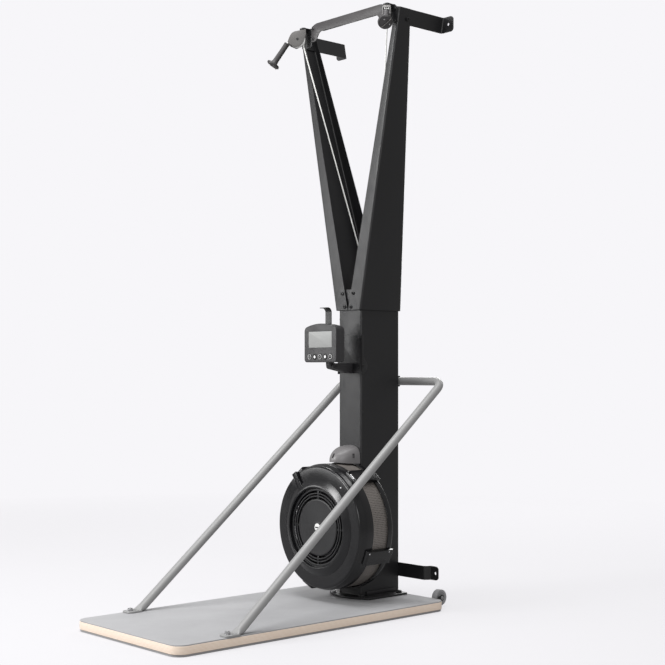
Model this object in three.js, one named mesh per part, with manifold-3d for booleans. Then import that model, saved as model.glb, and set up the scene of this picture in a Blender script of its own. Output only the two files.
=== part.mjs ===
// Ski trainer machine: hollow column with two channel arms, air flywheel, two swivelling cord pulleys
// with handles, monitor and a wooden floor stand with a bent tube rail.
// Millimetres, +Z up, the user stands on the -Y side. The origin is the centre of the stand's underside.
import * as THREE from 'three';
import { ConvexGeometry } from 'three/addons/geometries/ConvexGeometry.js';
import { mergeVertices } from 'three/addons/utils/BufferGeometryUtils.js';
import Module from 'manifold-3d';

const wasm = await Module();
wasm.setup();

// Shared
const gap = 0.3;
const overrun = 5;
const sheet = 3;
const ringRound = 40;
const bigRound = 24;
const midRound = 16;
const smallRound = 8;
const arcSteps = 3;
const shellSteps = 6;
const faceSteps = 8;
const bendSteps = 7;
const leadSteps = 8;
const wrapSteps = 6;
const railSides = 5;
const cordSides = 4;
const mergeShare = 0.001;

// Floor stand
const standWidth = 600;
const standLength = 1210;
const standCorner = 45;
const underlayInset = 3;
const underlayThickness = 8;
const boardThickness = 26;
const matThickness = 4;
const matInset = 1;
const boltRadius = 5;
const boltHeadAcross = 18;
const boltHeadHeight = 6.5;
const washerRadius = 11;
const washerThickness = 2;

// Base plate and column
const baseHalfWidth = 112;
const baseThickness = 8;
const baseNoseReach = 42;
const baseShoulderReach = 0;
const baseFrontBoltX = 76;
const baseFrontBoltReach = 12;
const baseRearBoltX = 94;
const baseRearBoltInset = 28;
const columnHalfWidth = 62;
const columnDepth = 194.7;
const columnRearSetback = 13.8;
const columnHeight = 1085.4;
const columnCorner = 12;
const backFlangeDepth = 30;

// Arms
const seamDrop = 20;
const spliceThickness = 4.5;
const spliceHalfWidth = 55;
const spliceHeight = 78;
const spliceBoltLowX = 17;
const spliceBoltLowRise = 12;
const spliceBoltHighX = 30;
const spliceBoltHighRise = 62;
const armBoltRadius = 4;
const armBoltHeadAcross = 13;
const armBoltHeadHeight = 5;
const armFit = 1;
const armHeight = 1082;
const armTopHalfWidth = 271;
const armTopFlange = 21;
const armTopDepth = 56;
const seamHalfGap = 1;

// Crossbar and swivel mounts
const crossbarHeight = 35;
const crossbarAboveArm = 27;
const crossbarThickness = 4;
const gussetDrop = 34;
const gussetLength = 46;
const pivotX = 230;
const pivotReach = 22.4;
const mountInner = 25;
const mountOuter = 32;
const mountRise = 49;
const mountDrop = 30;
const mountCorner = 8;
const earThickness = 5;
const earRadius = 15;
const pivotBoltRadius = 6;

// Wall brackets
const wallBracketHeight = 57;
const wallBracketThickness = 4;
const wallBracketFrontInset = 8;
const wallReach = 26.8;
const wallTabWidth = 48;
const wallTabCorner = 15;
const wallHoleRadius = 5.5;
const lowerStrapHeight = 52;
const lowerStrapZ = 128.5;
const lowerStrapHalf = 196;
const lowerTabLength = 40;
const lowerJoggleRun = 12;

// Yoke, pulley and handle
const pulleyHeightBelowArm = 30;
const grooveRadius = 24;
const pulleyRimRadius = 30;
const pulleyWidth = 15;
const cordRadius = 2.5;
const grooveFlare = 3;
const cheekGapHalf = 11.5;
const cheekThickness = 3;
const cheekRadius = 36;
const cheekTop = 37;
const cheekBack = 9;
const cheekShoulderDrop = 20;
const browShares = [[0, 0.97], [-0.92, 0.635], [-1.24, 0.35], [-1.54, -0.054]];
const heelShare = [-0.757, -0.878];
const heelEdge = 5;
const tipOver = 1.8;
const tipUnder = 15.4;
const tipSlant = 4;
const bridgeThickness = 6;
const axleRadius = 4;
const axleHeadRadius = 5;
const axleHeadHeight = 2;
const handleLength = 106;
const handleTopRadius = 11.4;
const handleWaistRadius = 10.4;
const handleFlangeRadius = 26.5;
const handleFlangeThickness = 12;
const handleDomeHeight = 5;
const handleFlare = 10;
const leftYawDeg = 42.1;
const rightYawDeg = 42.7;
const leftDroopDeg = 56;
const rightDroopDeg = 37;

// Cord guide and drums
const drumRadius = 22;
const leftCordBack = 128.5;
const cordSpacing = 31;
const rollerRadius = 16.5;
const rollerRim = 21;
const rollerWidth = 14;
const rollerRise = 58;
const guideSheet = 3;
const guideDepth = 16;
const guideHeight = 118;
const guideHalfWidth = 57;
const guideHeadTop = 16;
const guideHeadHalf = 50;
const drumFlange = 32;
const drumWidth = 24;
const drumFlangeThickness = 2.5;
const cassetteRadius = 48;
const cassetteWidth = 25;
const cassetteSpace = 4;
const cassetteEar = 10;
const shaftRadius = 8.5;
const bearingRadius = 24;
const bearingWidth = 20;
const rearBearingWidth = 14;
const bearingFlangeRadius = 34;
const bearingFlangeThickness = 5;

// Flywheel
const wheelAxisZ = 310;
const housingDepth = 160.5;
const coverRimRadius = 224;
const coverSkirtRadius = 232;
const coverSkirtDepth = 62;
const coverSlopeStart = 10;
const coverSlopeEnd = 26;
const coverEdge = 4;
const intakeRadius = 143;
const grilleDepth = 7;
const grilleRise = 3;
const grilleRingWidth = 4.5;
const grilleRings = 3;
const grilleDiscRadius = 104;
const grilleFlange = 8;
const grilleFit = 0.6;
const grilleSpokes = 4;
const damperInner = 146;
const damperCrest = 152;
const damperOuter = 178;
const damperRise = 13;
const leverAngleDeg = 123;
const leverWidth = 26;
const leverInner = 158;
const leverOuter = 230;
const leverThickness = 11;
const leverHookDepth = 8;
const bandThickness = 1.5;
const bandLap = 8;
const rearRimRadius = 236;
const rearRimDepth = 26;
const housingBossRadius = 80;
const housingBossHeight = 4.5;
const housingBore = 25;
const blockWidth = 54;
const blockHeight = 16;
const blockSetback = 2;
const tieAnglesDeg = [53, -23, 127, 246.5];
const fanRadius = 205;
const fanHubRadius = 26;
const fanFrontClear = 14;
const fanRearClear = 12;
const fanDiscThickness = 3;
const fanBladeInner = 118;
const fanBladeThickness = 2.5;
const fanBlades = 12;
const hoodHalfWidth = 56;
const hoodReach = 90;
const hoodRise = 60;
const hoodCrown = 56;
const hoodSlotWidth = 9;
const hoodSlotHeight = 17;
const hoodSlotDepth = 14;
const hoodSlotRise = 23;
const hoodSlotAnglesDeg = [-60, 0, 60];

// Monitor
const monitorWidth = 176;
const monitorHeight = 131;
const monitorCrown = 10;
const monitorDepth = 42;
const monitorDrop = 216;
const monitorStandoff = 150;
const monitorCorner = 12;
const screenWidth = 127;
const screenHeight = 59;
const screenRise = 54;
const screenThickness = 2;
const buttonRadius = 11;
const buttonPitch = 28.6;
const buttonRise = 20;
const buttonHeight = 5;
const buttonProud = 1.5;
const buttonTravelSpace = 2;
const buttonCount = 5;
const hingeRadius = 5;
const hingeBack = 58;
const hingeDrop = 14;
const lugHalfWidth = 12;
const lugRadius = 11;
const forkThickness = 7;
const armBarHeight = 26;
const clampHeight = 140;
const clampDrop = 34;
const clampThickness = 3.2;
const clampCheekRadius = 30;
const clampSheet = 2.5;
const hookWidth = 33;
const hookSheet = 3;
const hookRise = 65;
const hookLap = 56;
const hookReach = 30;
const hookTip = 7;

// Rail
const railRadius = 15.5;
const railHeight = 845;
const railTopHalf = 268;
const railFootHalf = 279;
const railBackReach = 14;
const railBend = 45;
const railFootY = -343;
const railFootRise = 13.5;
const footLength = 62;
const footHalfWidth = 23;
const footThickness = 6;
const footBoltInset = 30;
const footNeck = 22;
const clampHalfWidth = 22;
const clampWall = 5.5;

// Transport wheels
const castorRadius = 30;
const castorWidth = 22;
const castorX = 228;
const castorZ = 36;
const castorClear = 2.5;
const castorEdge = 3;
const bracketEarRadius = 12;
const bracketPlateHeight = 24;

// Heights and depths that follow from the sizes above
const deckZ = underlayThickness + boardThickness + matThickness;
const baseTopZ = deckZ + gap + baseThickness;
const columnBottomZ = baseTopZ + gap;
const columnTopZ = columnBottomZ + columnHeight;
const columnRearY = standLength / 2 - columnRearSetback;
const columnFrontY = columnRearY - columnDepth;
const seamZ = columnTopZ - seamDrop;
const spliceBackY = columnFrontY - gap;
const spliceFrontY = spliceBackY - spliceThickness;
const armFrontY = spliceFrontY - gap - sheet;
const armTopZ = seamZ + armHeight;
const armSlope = (armTopHalfWidth - columnHalfWidth - armFit - sheet) / armHeight;
const rearSlope = (columnRearY + sheet + gap - armFrontY - armTopDepth) / (armHeight - seamDrop);
const pivotY = armFrontY - pivotReach;
const pulleyZ = armTopZ - pulleyHeightBelowArm;
const leadDrop = Math.sqrt((pulleyRimRadius + cordRadius + gap) ** 2 - grooveRadius ** 2);
const cordX = -drumRadius;
const leftCordY = columnFrontY + leftCordBack;
const rightCordY = leftCordY + cordSpacing;
const rollerZ = columnTopZ + rollerRise;
const housingFrontY = columnFrontY - housingDepth;
const wallPlaneY = columnRearY + wallReach;
const monitorBottomZ = columnTopZ - monitorDrop;
const hingeZ = monitorBottomZ - hingeDrop;
const monitorFrontY = columnFrontY - monitorStandoff;

// Where the arm's faces lie at a height
const outerX = (z) => columnHalfWidth + armFit + sheet + (z - seamZ) * armSlope;
const innerSlope = (armTopHalfWidth - armTopFlange - seamHalfGap) / armHeight;
const innerX = (z) => seamHalfGap + (z - seamZ) * innerSlope;
const rearY = (z) => columnRearY + sheet + gap - (z - columnTopZ) * rearSlope;

// Turns a closed geometry into a solid with its faces pointing out
function solid(geometry) {
  const bare = geometry.index ? geometry.toNonIndexed() : geometry.clone();
  bare.deleteAttribute('normal');
  bare.deleteAttribute('uv');
  const merged = mergeVertices(bare, gap * mergeShare);
  const points = merged.attributes.position.array;
  const corners = Array.from(merged.index.array);
  const faces = [];
  for (let i = 0; i < corners.length; i += 3) {
    const [a, b, c] = corners.slice(i, i + 3);
    if (a !== b && b !== c && c !== a) {
      faces.push([a, b, c]);
    }
  }
  const at = (i) => new THREE.Vector3().fromArray(points, 3 * i);
  const volume = faces.reduce((sum, [a, b, c]) => sum + at(a).dot(at(b).cross(at(c))), 0);
  const outward = volume > 0 ? faces : faces.map(([a, b, c]) => [a, c, b]);
  const mesh = new wasm.Mesh({
    numProp: 3,
    vertProperties: Float32Array.from(points),
    triVerts: Uint32Array.from(outward.flat()),
  });
  return new wasm.Manifold(mesh);
}

// Joins a list of solids
const join = (...solids) => solids.reduce((sum, next) => sum.add(next));

// Cuts a list of solids out of the first
const cut = (body, ...tools) => tools.reduce((rest, tool) => rest.subtract(tool), body);

// A block between two corners
function block(x0, x1, y0, y1, z0, z1) {
  const shape = new THREE.BoxGeometry(x1 - x0, y1 - y0, z1 - z0);
  shape.translate((x0 + x1) / 2, (y0 + y1) / 2, (z0 + z1) / 2);
  return solid(shape);
}

const directions = {
  x: new THREE.Vector3(1, 0, 0),
  y: new THREE.Vector3(0, 1, 0),
  z: new THREE.Vector3(0, 0, 1),
};

// A round bar along an axis, from one place on it to another, centred on the other two coordinates
function bar(axis, radius, from, to, centre, sides = midRound) {
  const shape = new THREE.CylinderGeometry(radius, radius, to - from, sides);
  const turn = new THREE.Quaternion().setFromUnitVectors(directions.y, directions[axis]);
  shape.applyQuaternion(turn);
  const middle = new THREE.Vector3(centre.x ?? 0, centre.y ?? 0, centre.z ?? 0);
  middle[axis] = (from + to) / 2;
  shape.translate(middle.x, middle.y, middle.z);
  return solid(shape);
}

// A hexagon bolt head, measured across its flats
const hexHead = (axis, across, from, to, centre) => bar(axis, across / Math.sqrt(3), from, to, centre, 6);

// An outline extruded along an axis between two places
function prism(shape, axis, from, to, curveSegments = arcSteps) {
  const body = new THREE.ExtrudeGeometry(shape, { depth: to - from, bevelEnabled: false, curveSegments });
  const frames = {
    x: [directions.y, directions.z, directions.x],
    y: [directions.x, directions.z, directions.y.clone().negate()],
    z: [directions.x, directions.y, directions.z],
  };
  body.applyMatrix4(new THREE.Matrix4().makeBasis(...frames[axis]));
  const start = axis === 'y' ? to : from;
  body.translate(axis === 'x' ? start : 0, axis === 'y' ? start : 0, axis === 'z' ? start : 0);
  return solid(body);
}

// A closed outline from its corner points
const outline = (points) => new THREE.Shape(points.map(([a, b]) => new THREE.Vector2(a, b)));

// A rectangle with round corners, centred on a point
function roundedRect(width, height, radius, x = 0, y = 0) {
  const shape = new THREE.Shape();
  const [w, h] = [width / 2 - radius, height / 2 - radius];
  shape.absarc(x + w, y + h, radius, 0, Math.PI / 2);
  shape.absarc(x - w, y + h, radius, Math.PI / 2, Math.PI);
  shape.absarc(x - w, y - h, radius, Math.PI, 1.5 * Math.PI);
  shape.absarc(x + w, y - h, radius, 1.5 * Math.PI, 2 * Math.PI);
  return shape;
}

// A turned form about the line along Y at the given x and z; the profile lists radius and y
function turned(profile, centre = { x: 0, z: 0 }, sides = bigRound) {
  const closed = [...profile, profile[0]].map(([r, y]) => new THREE.Vector2(r, y));
  const shape = new THREE.LatheGeometry(closed, sides);
  shape.translate(centre.x, 0, centre.z);
  return solid(shape);
}

// The hull of a few points
const hull = (points) => solid(new ConvexGeometry(points));

// The same solid on the other side of the machine
const mirrored = (body) => body.mirror([1, 0, 0]);

// A path through given stations, so that bends get as many rings as they need
class StationPath extends THREE.Curve {
  constructor(stations) {
    super();
    this.stations = stations;
  }

  getPoint(t) {
    const place = Math.min(Math.max(t, 0), 1) * (this.stations.length - 1);
    const index = Math.min(Math.floor(place), this.stations.length - 2);
    return this.stations[index].clone().lerp(this.stations[index + 1], place - index);
  }

  getPointAt(t) {
    return this.getPoint(t);
  }

  getSpacedPoints(steps) {
    return Array.from({ length: steps + 1 }, (_, i) => this.getPoint(i / steps));
  }

  getTangentAt(t) {
    const last = this.stations.length - 1;
    const index = Math.round(t * last);
    const before = this.stations[Math.max(index - 1, 0)];
    const after = this.stations[Math.min(index + 1, last)];
    const here = this.stations[index];
    const incoming = here.clone().sub(before).normalize();
    const leaving = after.clone().sub(here).normalize();
    return incoming.add(leaving).normalize();
  }
}

// A round tube along stations
function tube(stations, radius, sides) {
  const section = new THREE.Shape();
  section.absarc(0, 0, radius, 0, 2 * Math.PI);
  const path = new StationPath(stations);
  const shape = new THREE.ExtrudeGeometry(section, {
    extrudePath: path,
    steps: stations.length - 1,
    curveSegments: sides,
  });
  return solid(shape);
}

// Stations round a corner between two straight runs
function bend(before, corner, after, radius, steps) {
  const into = before.clone().sub(corner).normalize();
  const out = after.clone().sub(corner).normalize();
  const half = into.angleTo(out) / 2;
  const reach = radius / Math.tan(half);
  const centre = corner.clone().addScaledVector(into.clone().add(out).normalize(), radius / Math.sin(half));
  const start = corner.clone().addScaledVector(into, reach).sub(centre);
  const end = corner.clone().addScaledVector(out, reach).sub(centre);
  const sweep = start.angleTo(end);
  return Array.from({ length: steps + 1 }, (_, i) => {
    const share = i / steps;
    const from = start.clone().multiplyScalar(Math.sin((1 - share) * sweep) / Math.sin(sweep));
    const to = end.clone().multiplyScalar(Math.sin(share * sweep) / Math.sin(sweep));
    return centre.clone().add(from).add(to);
  });
}

// Finishes
const finishes = {
  birch: { color: 0xe6cfae, roughness: 0.55, metalness: 0 },
  mat: { color: 0xb4b5b6, roughness: 0.9, metalness: 0 },
  rubber: { color: 0x2a2a2b, roughness: 0.85, metalness: 0 },
  steelBlack: { color: 0x1d1d1f, roughness: 0.5, metalness: 0.2 },
  steelGrey: { color: 0xa4a5a6, roughness: 0.45, metalness: 0.3 },
  plasticBlack: { color: 0x18181a, roughness: 0.4, metalness: 0 },
  plasticGrey: { color: 0x6a6867, roughness: 0.5, metalness: 0 },
  bandSteel: { color: 0x77736f, roughness: 0.4, metalness: 0.6 },
  zinc: { color: 0xc4c6c8, roughness: 0.35, metalness: 0.9 },
  nylon: { color: 0xe8e8e6, roughness: 0.45, metalness: 0 },
  cord: { color: 0xf0f0ee, roughness: 0.8, metalness: 0 },
  screen: { color: 0x9fa3a3, roughness: 0.2, metalness: 0 },
};

const machine = new THREE.Group();

// Adds a named piece in its finish to the machine or to a turned group
function piece(name, body, finish, parent = machine) {
  const { vertProperties, triVerts } = body.getMesh();
  const geometry = new THREE.BufferGeometry();
  geometry.setAttribute('position', new THREE.BufferAttribute(vertProperties, 3));
  geometry.setIndex(new THREE.BufferAttribute(triVerts, 1));
  geometry.computeVertexNormals();
  const mesh = new THREE.Mesh(geometry, new THREE.MeshStandardMaterial(finishes[finish]));
  mesh.name = name;
  parent.add(mesh);
}

// Places of the bolts that go through the board
const footBolts = [-1, 1].map((side) => ({ x: side * railFootHalf, y: railFootY - footNeck - footBoltInset }));
const baseBolts = [-1, 1].flatMap((side) => [
  { x: side * baseFrontBoltX, y: columnFrontY - baseFrontBoltReach },
  { x: side * baseRearBoltX, y: columnRearY - baseRearBoltInset },
]);

// Floor stand: underlay, board and mat, each resting on the one below
function buildStand() {
  const underlay = roundedRect(
    standWidth - 2 * underlayInset,
    standLength - 2 * underlayInset,
    standCorner - underlayInset,
  );
  piece('floor_underlay', prism(underlay, 'z', 0, underlayThickness - gap), 'rubber');
  const holes = [...footBolts, ...baseBolts].map((place) => (
    bar('z', boltRadius + gap, 0, deckZ + overrun, place, smallRound)
  ));
  const boardTop = underlayThickness + boardThickness;
  const board = prism(roundedRect(standWidth, standLength, standCorner), 'z', underlayThickness, boardTop);
  piece('platform_board', cut(board, ...holes), 'birch');
  const matShape = roundedRect(standWidth - 2 * matInset, standLength - 2 * matInset, standCorner - matInset);
  piece('platform_mat', cut(prism(matShape, 'z', boardTop + gap, deckZ), ...holes), 'mat');
}

// A bolt that stands in the board, its head on a washer at the given height
function deckBolt(place, seat) {
  return join(
    bar('z', boltRadius, underlayThickness + gap, seat + washerThickness, place, smallRound),
    bar('z', washerRadius, seat, seat + washerThickness, place),
    hexHead('z', boltHeadAcross, seat + washerThickness, seat + washerThickness + boltHeadHeight, place),
  );
}

// Rail: one bent tube from foot to foot, its ends flattened onto the mat
function buildRail() {
  const barY = columnRearY + railBackReach + railRadius;
  const foot = (side) => new THREE.Vector3(side * railFootHalf, railFootY, deckZ + railFootRise);
  const top = (side) => new THREE.Vector3(side * railTopHalf, barY, railHeight);
  const stations = [
    foot(-1),
    ...bend(foot(-1), top(-1), top(1), railBend, bendSteps),
    ...bend(top(-1), top(1), foot(1), railBend, bendSteps),
    foot(1),
  ];
  const parts = [tube(stations, railRadius, railSides)];
  const footBottom = deckZ + gap;
  const footTop = footBottom + footThickness;
  const neckY = railFootY - footNeck;
  [-1, 1].forEach((side) => {
    const run = top(side).sub(foot(side)).normalize();
    const across = new THREE.Vector3().crossVectors(run, directions.x).normalize();
    const level = new THREE.Vector3().crossVectors(across, run);
    const ring = Array.from({ length: smallRound }, (_, i) => {
      const angle = (2 * Math.PI * i) / smallRound;
      return foot(side)
        .addScaledVector(across, railRadius * Math.sin(angle))
        .addScaledVector(level, railRadius * Math.cos(angle));
    }).filter((point) => point.z > footBottom);
    const edge = [-1, 1].flatMap((end) => [footBottom, footTop].map((z) => (
      new THREE.Vector3(side * railFootHalf + end * footHalfWidth, neckY, z)
    )));
    const padMiddle = neckY - footLength / 2 + footHalfWidth / 2;
    const pad = roundedRect(2 * footHalfWidth, footLength, footHalfWidth / 2, side * railFootHalf, padMiddle);
    parts.push(hull([...ring, ...edge]), prism(pad, 'z', footBottom, footTop));
  });
  const holes = footBolts.map((place) => (
    bar('z', boltRadius + gap, deckZ, footTop + overrun, place, smallRound)
  ));
  piece('support_rail', cut(join(...parts), ...holes), 'steelGrey');
  ['left', 'right'].forEach((name, i) => {
    piece(`rail_bolt_${name}`, deckBolt(footBolts[i], footTop + gap), 'zinc');
  });

  const clampOuter = railRadius + clampWall;
  const clampBlock = block(
    -clampHalfWidth,
    clampHalfWidth,
    columnRearY + gap,
    barY + clampOuter,
    railHeight - clampOuter,
    railHeight + clampOuter,
  );
  const seat = bar('x', railRadius + gap, -clampHalfWidth - overrun, clampHalfWidth + overrun, {
    y: barY,
    z: railHeight,
  });
  piece('rail_clamp', cut(clampBlock, seat), 'steelBlack');
}

// Transport wheels behind the stand, each between the ears of its bracket
function buildCastors() {
  const rearEdge = standLength / 2;
  const axleY = rearEdge + gap + sheet + castorClear + castorRadius;
  const halfWheel = castorWidth / 2;
  const tread = castorRadius - castorEdge;
  const profile = [
    [boltRadius + gap, -halfWheel],
    [tread, -halfWheel],
    [castorRadius, castorEdge - halfWheel],
    [castorRadius, halfWheel - castorEdge],
    [tread, halfWheel],
    [boltRadius + gap, halfWheel],
  ];
  ['left', 'right'].forEach((name, i) => {
    const x = (2 * i - 1) * castorX;
    const wheel = turned(profile, { x: 0, z: 0 }, midRound).rotate([0, 0, 90]).translate([x, axleY, castorZ]);
    piece(`transport_wheel_${name}`, wheel, 'steelGrey');

    const earIn = halfWheel + 2 * gap;
    const plateBottom = underlayThickness + gap;
    const plate = block(
      x - earIn - sheet,
      x + earIn + sheet,
      rearEdge + gap,
      rearEdge + gap + sheet,
      plateBottom,
      plateBottom + bracketPlateHeight,
    );
    const ears = [-1, 1].map((side) => {
      const from = side > 0 ? x + earIn : x - earIn - sheet;
      const web = outline([
        [rearEdge + gap, plateBottom],
        [axleY, castorZ - bracketEarRadius],
        [axleY, castorZ + bracketEarRadius],
        [rearEdge + gap, plateBottom + bracketPlateHeight],
      ]);
      const round = bar('x', bracketEarRadius, from, from + sheet, { y: axleY, z: castorZ }, midRound);
      return join(prism(web, 'x', from, from + sheet), round);
    });
    const axle = bar('x', boltRadius, x - earIn - sheet - axleHeadHeight, x + earIn + sheet + axleHeadHeight, {
      y: axleY,
      z: castorZ,
    }, smallRound);
    piece(`wheel_bracket_${name}`, join(plate, ...ears, axle), 'steelBlack');
  });
}

// Base plate with a gently bowed front edge, and its four bolts
function buildBase() {
  const shape = new THREE.Shape();
  const shoulderY = columnFrontY - baseShoulderReach;
  shape.moveTo(baseHalfWidth, columnRearY);
  shape.lineTo(-baseHalfWidth, columnRearY);
  shape.lineTo(-baseHalfWidth, shoulderY);
  shape.quadraticCurveTo(0, shoulderY - 2 * baseNoseReach, baseHalfWidth, shoulderY);
  const bolts = baseBolts.map((place) => deckBolt(place, baseTopZ));
  piece('base_plate', join(prism(shape, 'z', deckZ + gap, baseTopZ), ...bolts), 'steelBlack');
}

// Column: a front shell with round front corners, and a back panel between its sides
function buildColumn() {
  const [half, radius] = [columnHalfWidth, columnCorner];
  const inner = half - sheet;
  const shell = new THREE.Shape();
  shell.moveTo(half, columnRearY);
  shell.absarc(half - radius, columnFrontY + radius, radius, 0, -Math.PI / 2, true);
  shell.absarc(radius - half, columnFrontY + radius, radius, -Math.PI / 2, -Math.PI, true);
  shell.lineTo(-half, columnRearY);
  shell.lineTo(-inner, columnRearY);
  shell.absarc(radius - half, columnFrontY + radius, radius - sheet, -Math.PI, -Math.PI / 2, false);
  shell.absarc(half - radius, columnFrontY + radius, radius - sheet, -Math.PI / 2, 0, false);
  shell.lineTo(inner, columnRearY);
  const wall = prism(shell, 'z', columnBottomZ, columnTopZ, shellSteps);
  const bearingHole = bar('y', bearingRadius + gap, columnFrontY - overrun, columnFrontY + sheet + overrun, {
    z: wheelAxisZ,
  });
  const boltHoles = [-1, 1].map((side) => (
    bar('y', armBoltRadius + gap, columnFrontY - overrun, columnFrontY + sheet + overrun, {
      x: side * spliceBoltLowX,
      z: seamZ + spliceBoltLowRise,
    }, smallRound)
  ));
  piece('column_shell', cut(wall, bearingHole, ...boltHoles), 'steelBlack');

  const panelHalf = inner - gap;
  const panel = outline([
    [panelHalf, columnRearY],
    [-panelHalf, columnRearY],
    [-panelHalf, columnRearY - backFlangeDepth],
    [sheet - panelHalf, columnRearY - backFlangeDepth],
    [sheet - panelHalf, columnRearY - sheet],
    [panelHalf - sheet, columnRearY - sheet],
    [panelHalf - sheet, columnRearY - backFlangeDepth],
    [panelHalf, columnRearY - backFlangeDepth],
  ]);
  piece('column_back', prism(panel, 'z', columnBottomZ, columnTopZ), 'steelBlack');
}

// Four-sided section of the right arm at a height: between two x and two y places
const section = (x0, x1, y0, y1, z0, z1) => [
  new THREE.Vector3(x0, y0, z0),
  new THREE.Vector3(x1, y0, z1),
  new THREE.Vector3(x1, y1, z1),
  new THREE.Vector3(x0, y1, z0),
];

// Right arm: a channel open towards the middle, its flanges widening downwards, cut square at the top
function armBody() {
  const innerTopZ = armTopZ + armTopFlange * armSlope;
  const outer = hull([
    ...section(innerX(seamZ), outerX(seamZ), armFrontY, rearY(seamZ), seamZ, seamZ),
    ...section(innerX(innerTopZ), outerX(armTopZ), armFrontY, rearY(armTopZ), innerTopZ, armTopZ),
  ]);
  const web = sheet * Math.hypot(1, armSlope);
  const hollowAt = (z) => section(
    innerX(z) - overrun,
    outerX(z) - web,
    armFrontY + sheet,
    rearY(z) - sheet,
    z,
    z,
  );
  const hollow = hull([...hollowAt(seamZ - overrun), ...hollowAt(armTopZ + overrun + armTopFlange)]);
  const bolts = [
    [spliceBoltLowX, spliceBoltLowRise],
    [spliceBoltHighX, spliceBoltHighRise],
  ].map(([x, rise]) => bar('y', armBoltRadius + gap, armFrontY - overrun, armFrontY + sheet + overrun, {
    x,
    z: seamZ + rise,
  }, smallRound));
  return cut(outer, hollow, ...bolts);
}

// Arms, and the plate with four bolts that joins them to the column
function buildArms() {
  const right = armBody();
  piece('arm_left', mirrored(right), 'steelBlack');
  piece('arm_right', right, 'steelBlack');

  const plate = block(
    -spliceHalfWidth,
    spliceHalfWidth,
    spliceFrontY,
    spliceBackY,
    seamZ + gap,
    seamZ + spliceHeight,
  );
  const headY = armFrontY - gap;
  const bolts = [-1, 1].flatMap((side) => [
    { x: side * spliceBoltLowX, z: seamZ + spliceBoltLowRise, nut: columnFrontY + sheet + gap },
    { x: side * spliceBoltHighX, z: seamZ + spliceBoltHighRise, nut: spliceBackY },
  ].map((place) => join(
    hexHead('y', armBoltHeadAcross, headY - armBoltHeadHeight, headY, place),
    bar('y', armBoltRadius, headY - gap, place.nut + armBoltHeadHeight, place, smallRound),
    hexHead('y', armBoltHeadAcross, place.nut, place.nut + armBoltHeadHeight, place),
  )));
  piece('splice_plate', join(plate, ...bolts), 'steelBlack');
}

// Crossbar strap between the swivel mounts, deeper at its ends
function buildCrossbar() {
  const top = armTopZ + crossbarAboveArm;
  const bottom = top - crossbarHeight;
  const end = pivotX - mountInner - gap;
  const shape = outline([
    [end, top],
    [-end, top],
    [-end, bottom - gussetDrop],
    [gussetLength / 2 - end, bottom - gussetDrop],
    [gussetLength - end, bottom],
    [end - gussetLength, bottom],
    [end - gussetLength / 2, bottom - gussetDrop],
    [end, bottom - gussetDrop],
  ]);
  const backY = armFrontY - gap;
  piece('crossbar', prism(shape, 'y', backY - crossbarThickness, backY), 'steelBlack');
}

// Swivel mount: a plate on the arm's front with an ear that holds the pivot bolt
function buildSwivelMounts() {
  const backY = armFrontY - gap;
  const earZ = pulleyZ + cheekTop + 2 * gap;
  const width = mountInner + mountOuter;
  const plateShape = roundedRect(
    width,
    mountRise + mountDrop,
    mountCorner,
    pivotX + (mountOuter - mountInner) / 2,
    pulleyZ + (mountRise - mountDrop) / 2,
  );
  const plate = prism(plateShape, 'y', backY - sheet, backY);
  const ear = join(
    block(pivotX - earRadius, pivotX + earRadius, pivotY, backY, earZ, earZ + earThickness),
    bar('z', earRadius, earZ, earZ + earThickness, { x: pivotX, y: pivotY }),
  );
  const place = { x: pivotX, y: pivotY };
  const bolt = join(
    bar('z', pivotBoltRadius, earZ - bridgeThickness - gap, earZ + earThickness, place),
    hexHead('z', boltHeadAcross, earZ + earThickness, earZ + earThickness + armBoltHeadHeight, place),
  );
  const right = join(plate, ear, bolt);
  piece('swivel_mount_left', mirrored(right), 'steelBlack');
  piece('swivel_mount_right', right, 'steelBlack');
}

// Wall bracket on the outside of each arm, its tab turned outwards
function buildWallBrackets() {
  const bottomZ = armTopZ - wallBracketHeight;
  const skin = wallBracketThickness * Math.hypot(1, armSlope);
  const wallSection = (z) => section(
    outerX(z) + gap,
    outerX(z) + gap + skin,
    armFrontY + wallBracketFrontInset,
    wallPlaneY,
    z,
    z,
  );
  const strap = hull([...wallSection(bottomZ), ...wallSection(armTopZ)]);
  const tabIn = outerX(bottomZ) + gap;
  const tabOut = outerX(armTopZ) + gap + wallTabWidth;
  const middleZ = (bottomZ + armTopZ) / 2;
  const tabShape = roundedRect(
    tabOut - tabIn,
    wallBracketHeight,
    wallTabCorner,
    (tabIn + tabOut) / 2,
    middleZ,
  );
  const tabRound = prism(tabShape, 'y', wallPlaneY - wallBracketThickness, wallPlaneY);
  const root = block(
    tabIn,
    outerX(armTopZ) + wallTabCorner,
    wallPlaneY - wallBracketThickness,
    wallPlaneY,
    bottomZ,
    armTopZ,
  );
  const past = hull([
    ...section(tabIn - overrun, outerX(bottomZ) + gap, 0, wallPlaneY + overrun, bottomZ, bottomZ),
    ...section(tabIn - overrun, outerX(armTopZ) + gap, 0, wallPlaneY + overrun, armTopZ, armTopZ),
  ]);
  const hole = bar('y', wallHoleRadius, wallPlaneY - 2 * overrun, wallPlaneY + overrun, {
    x: (outerX(middleZ) + gap + wallBracketThickness + tabOut) / 2,
    z: middleZ,
  });
  const right = cut(join(strap, cut(join(tabRound, root), past)), hole);
  piece('wall_bracket_left', mirrored(right), 'steelBlack');
  piece('wall_bracket_right', right, 'steelBlack');
}

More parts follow.
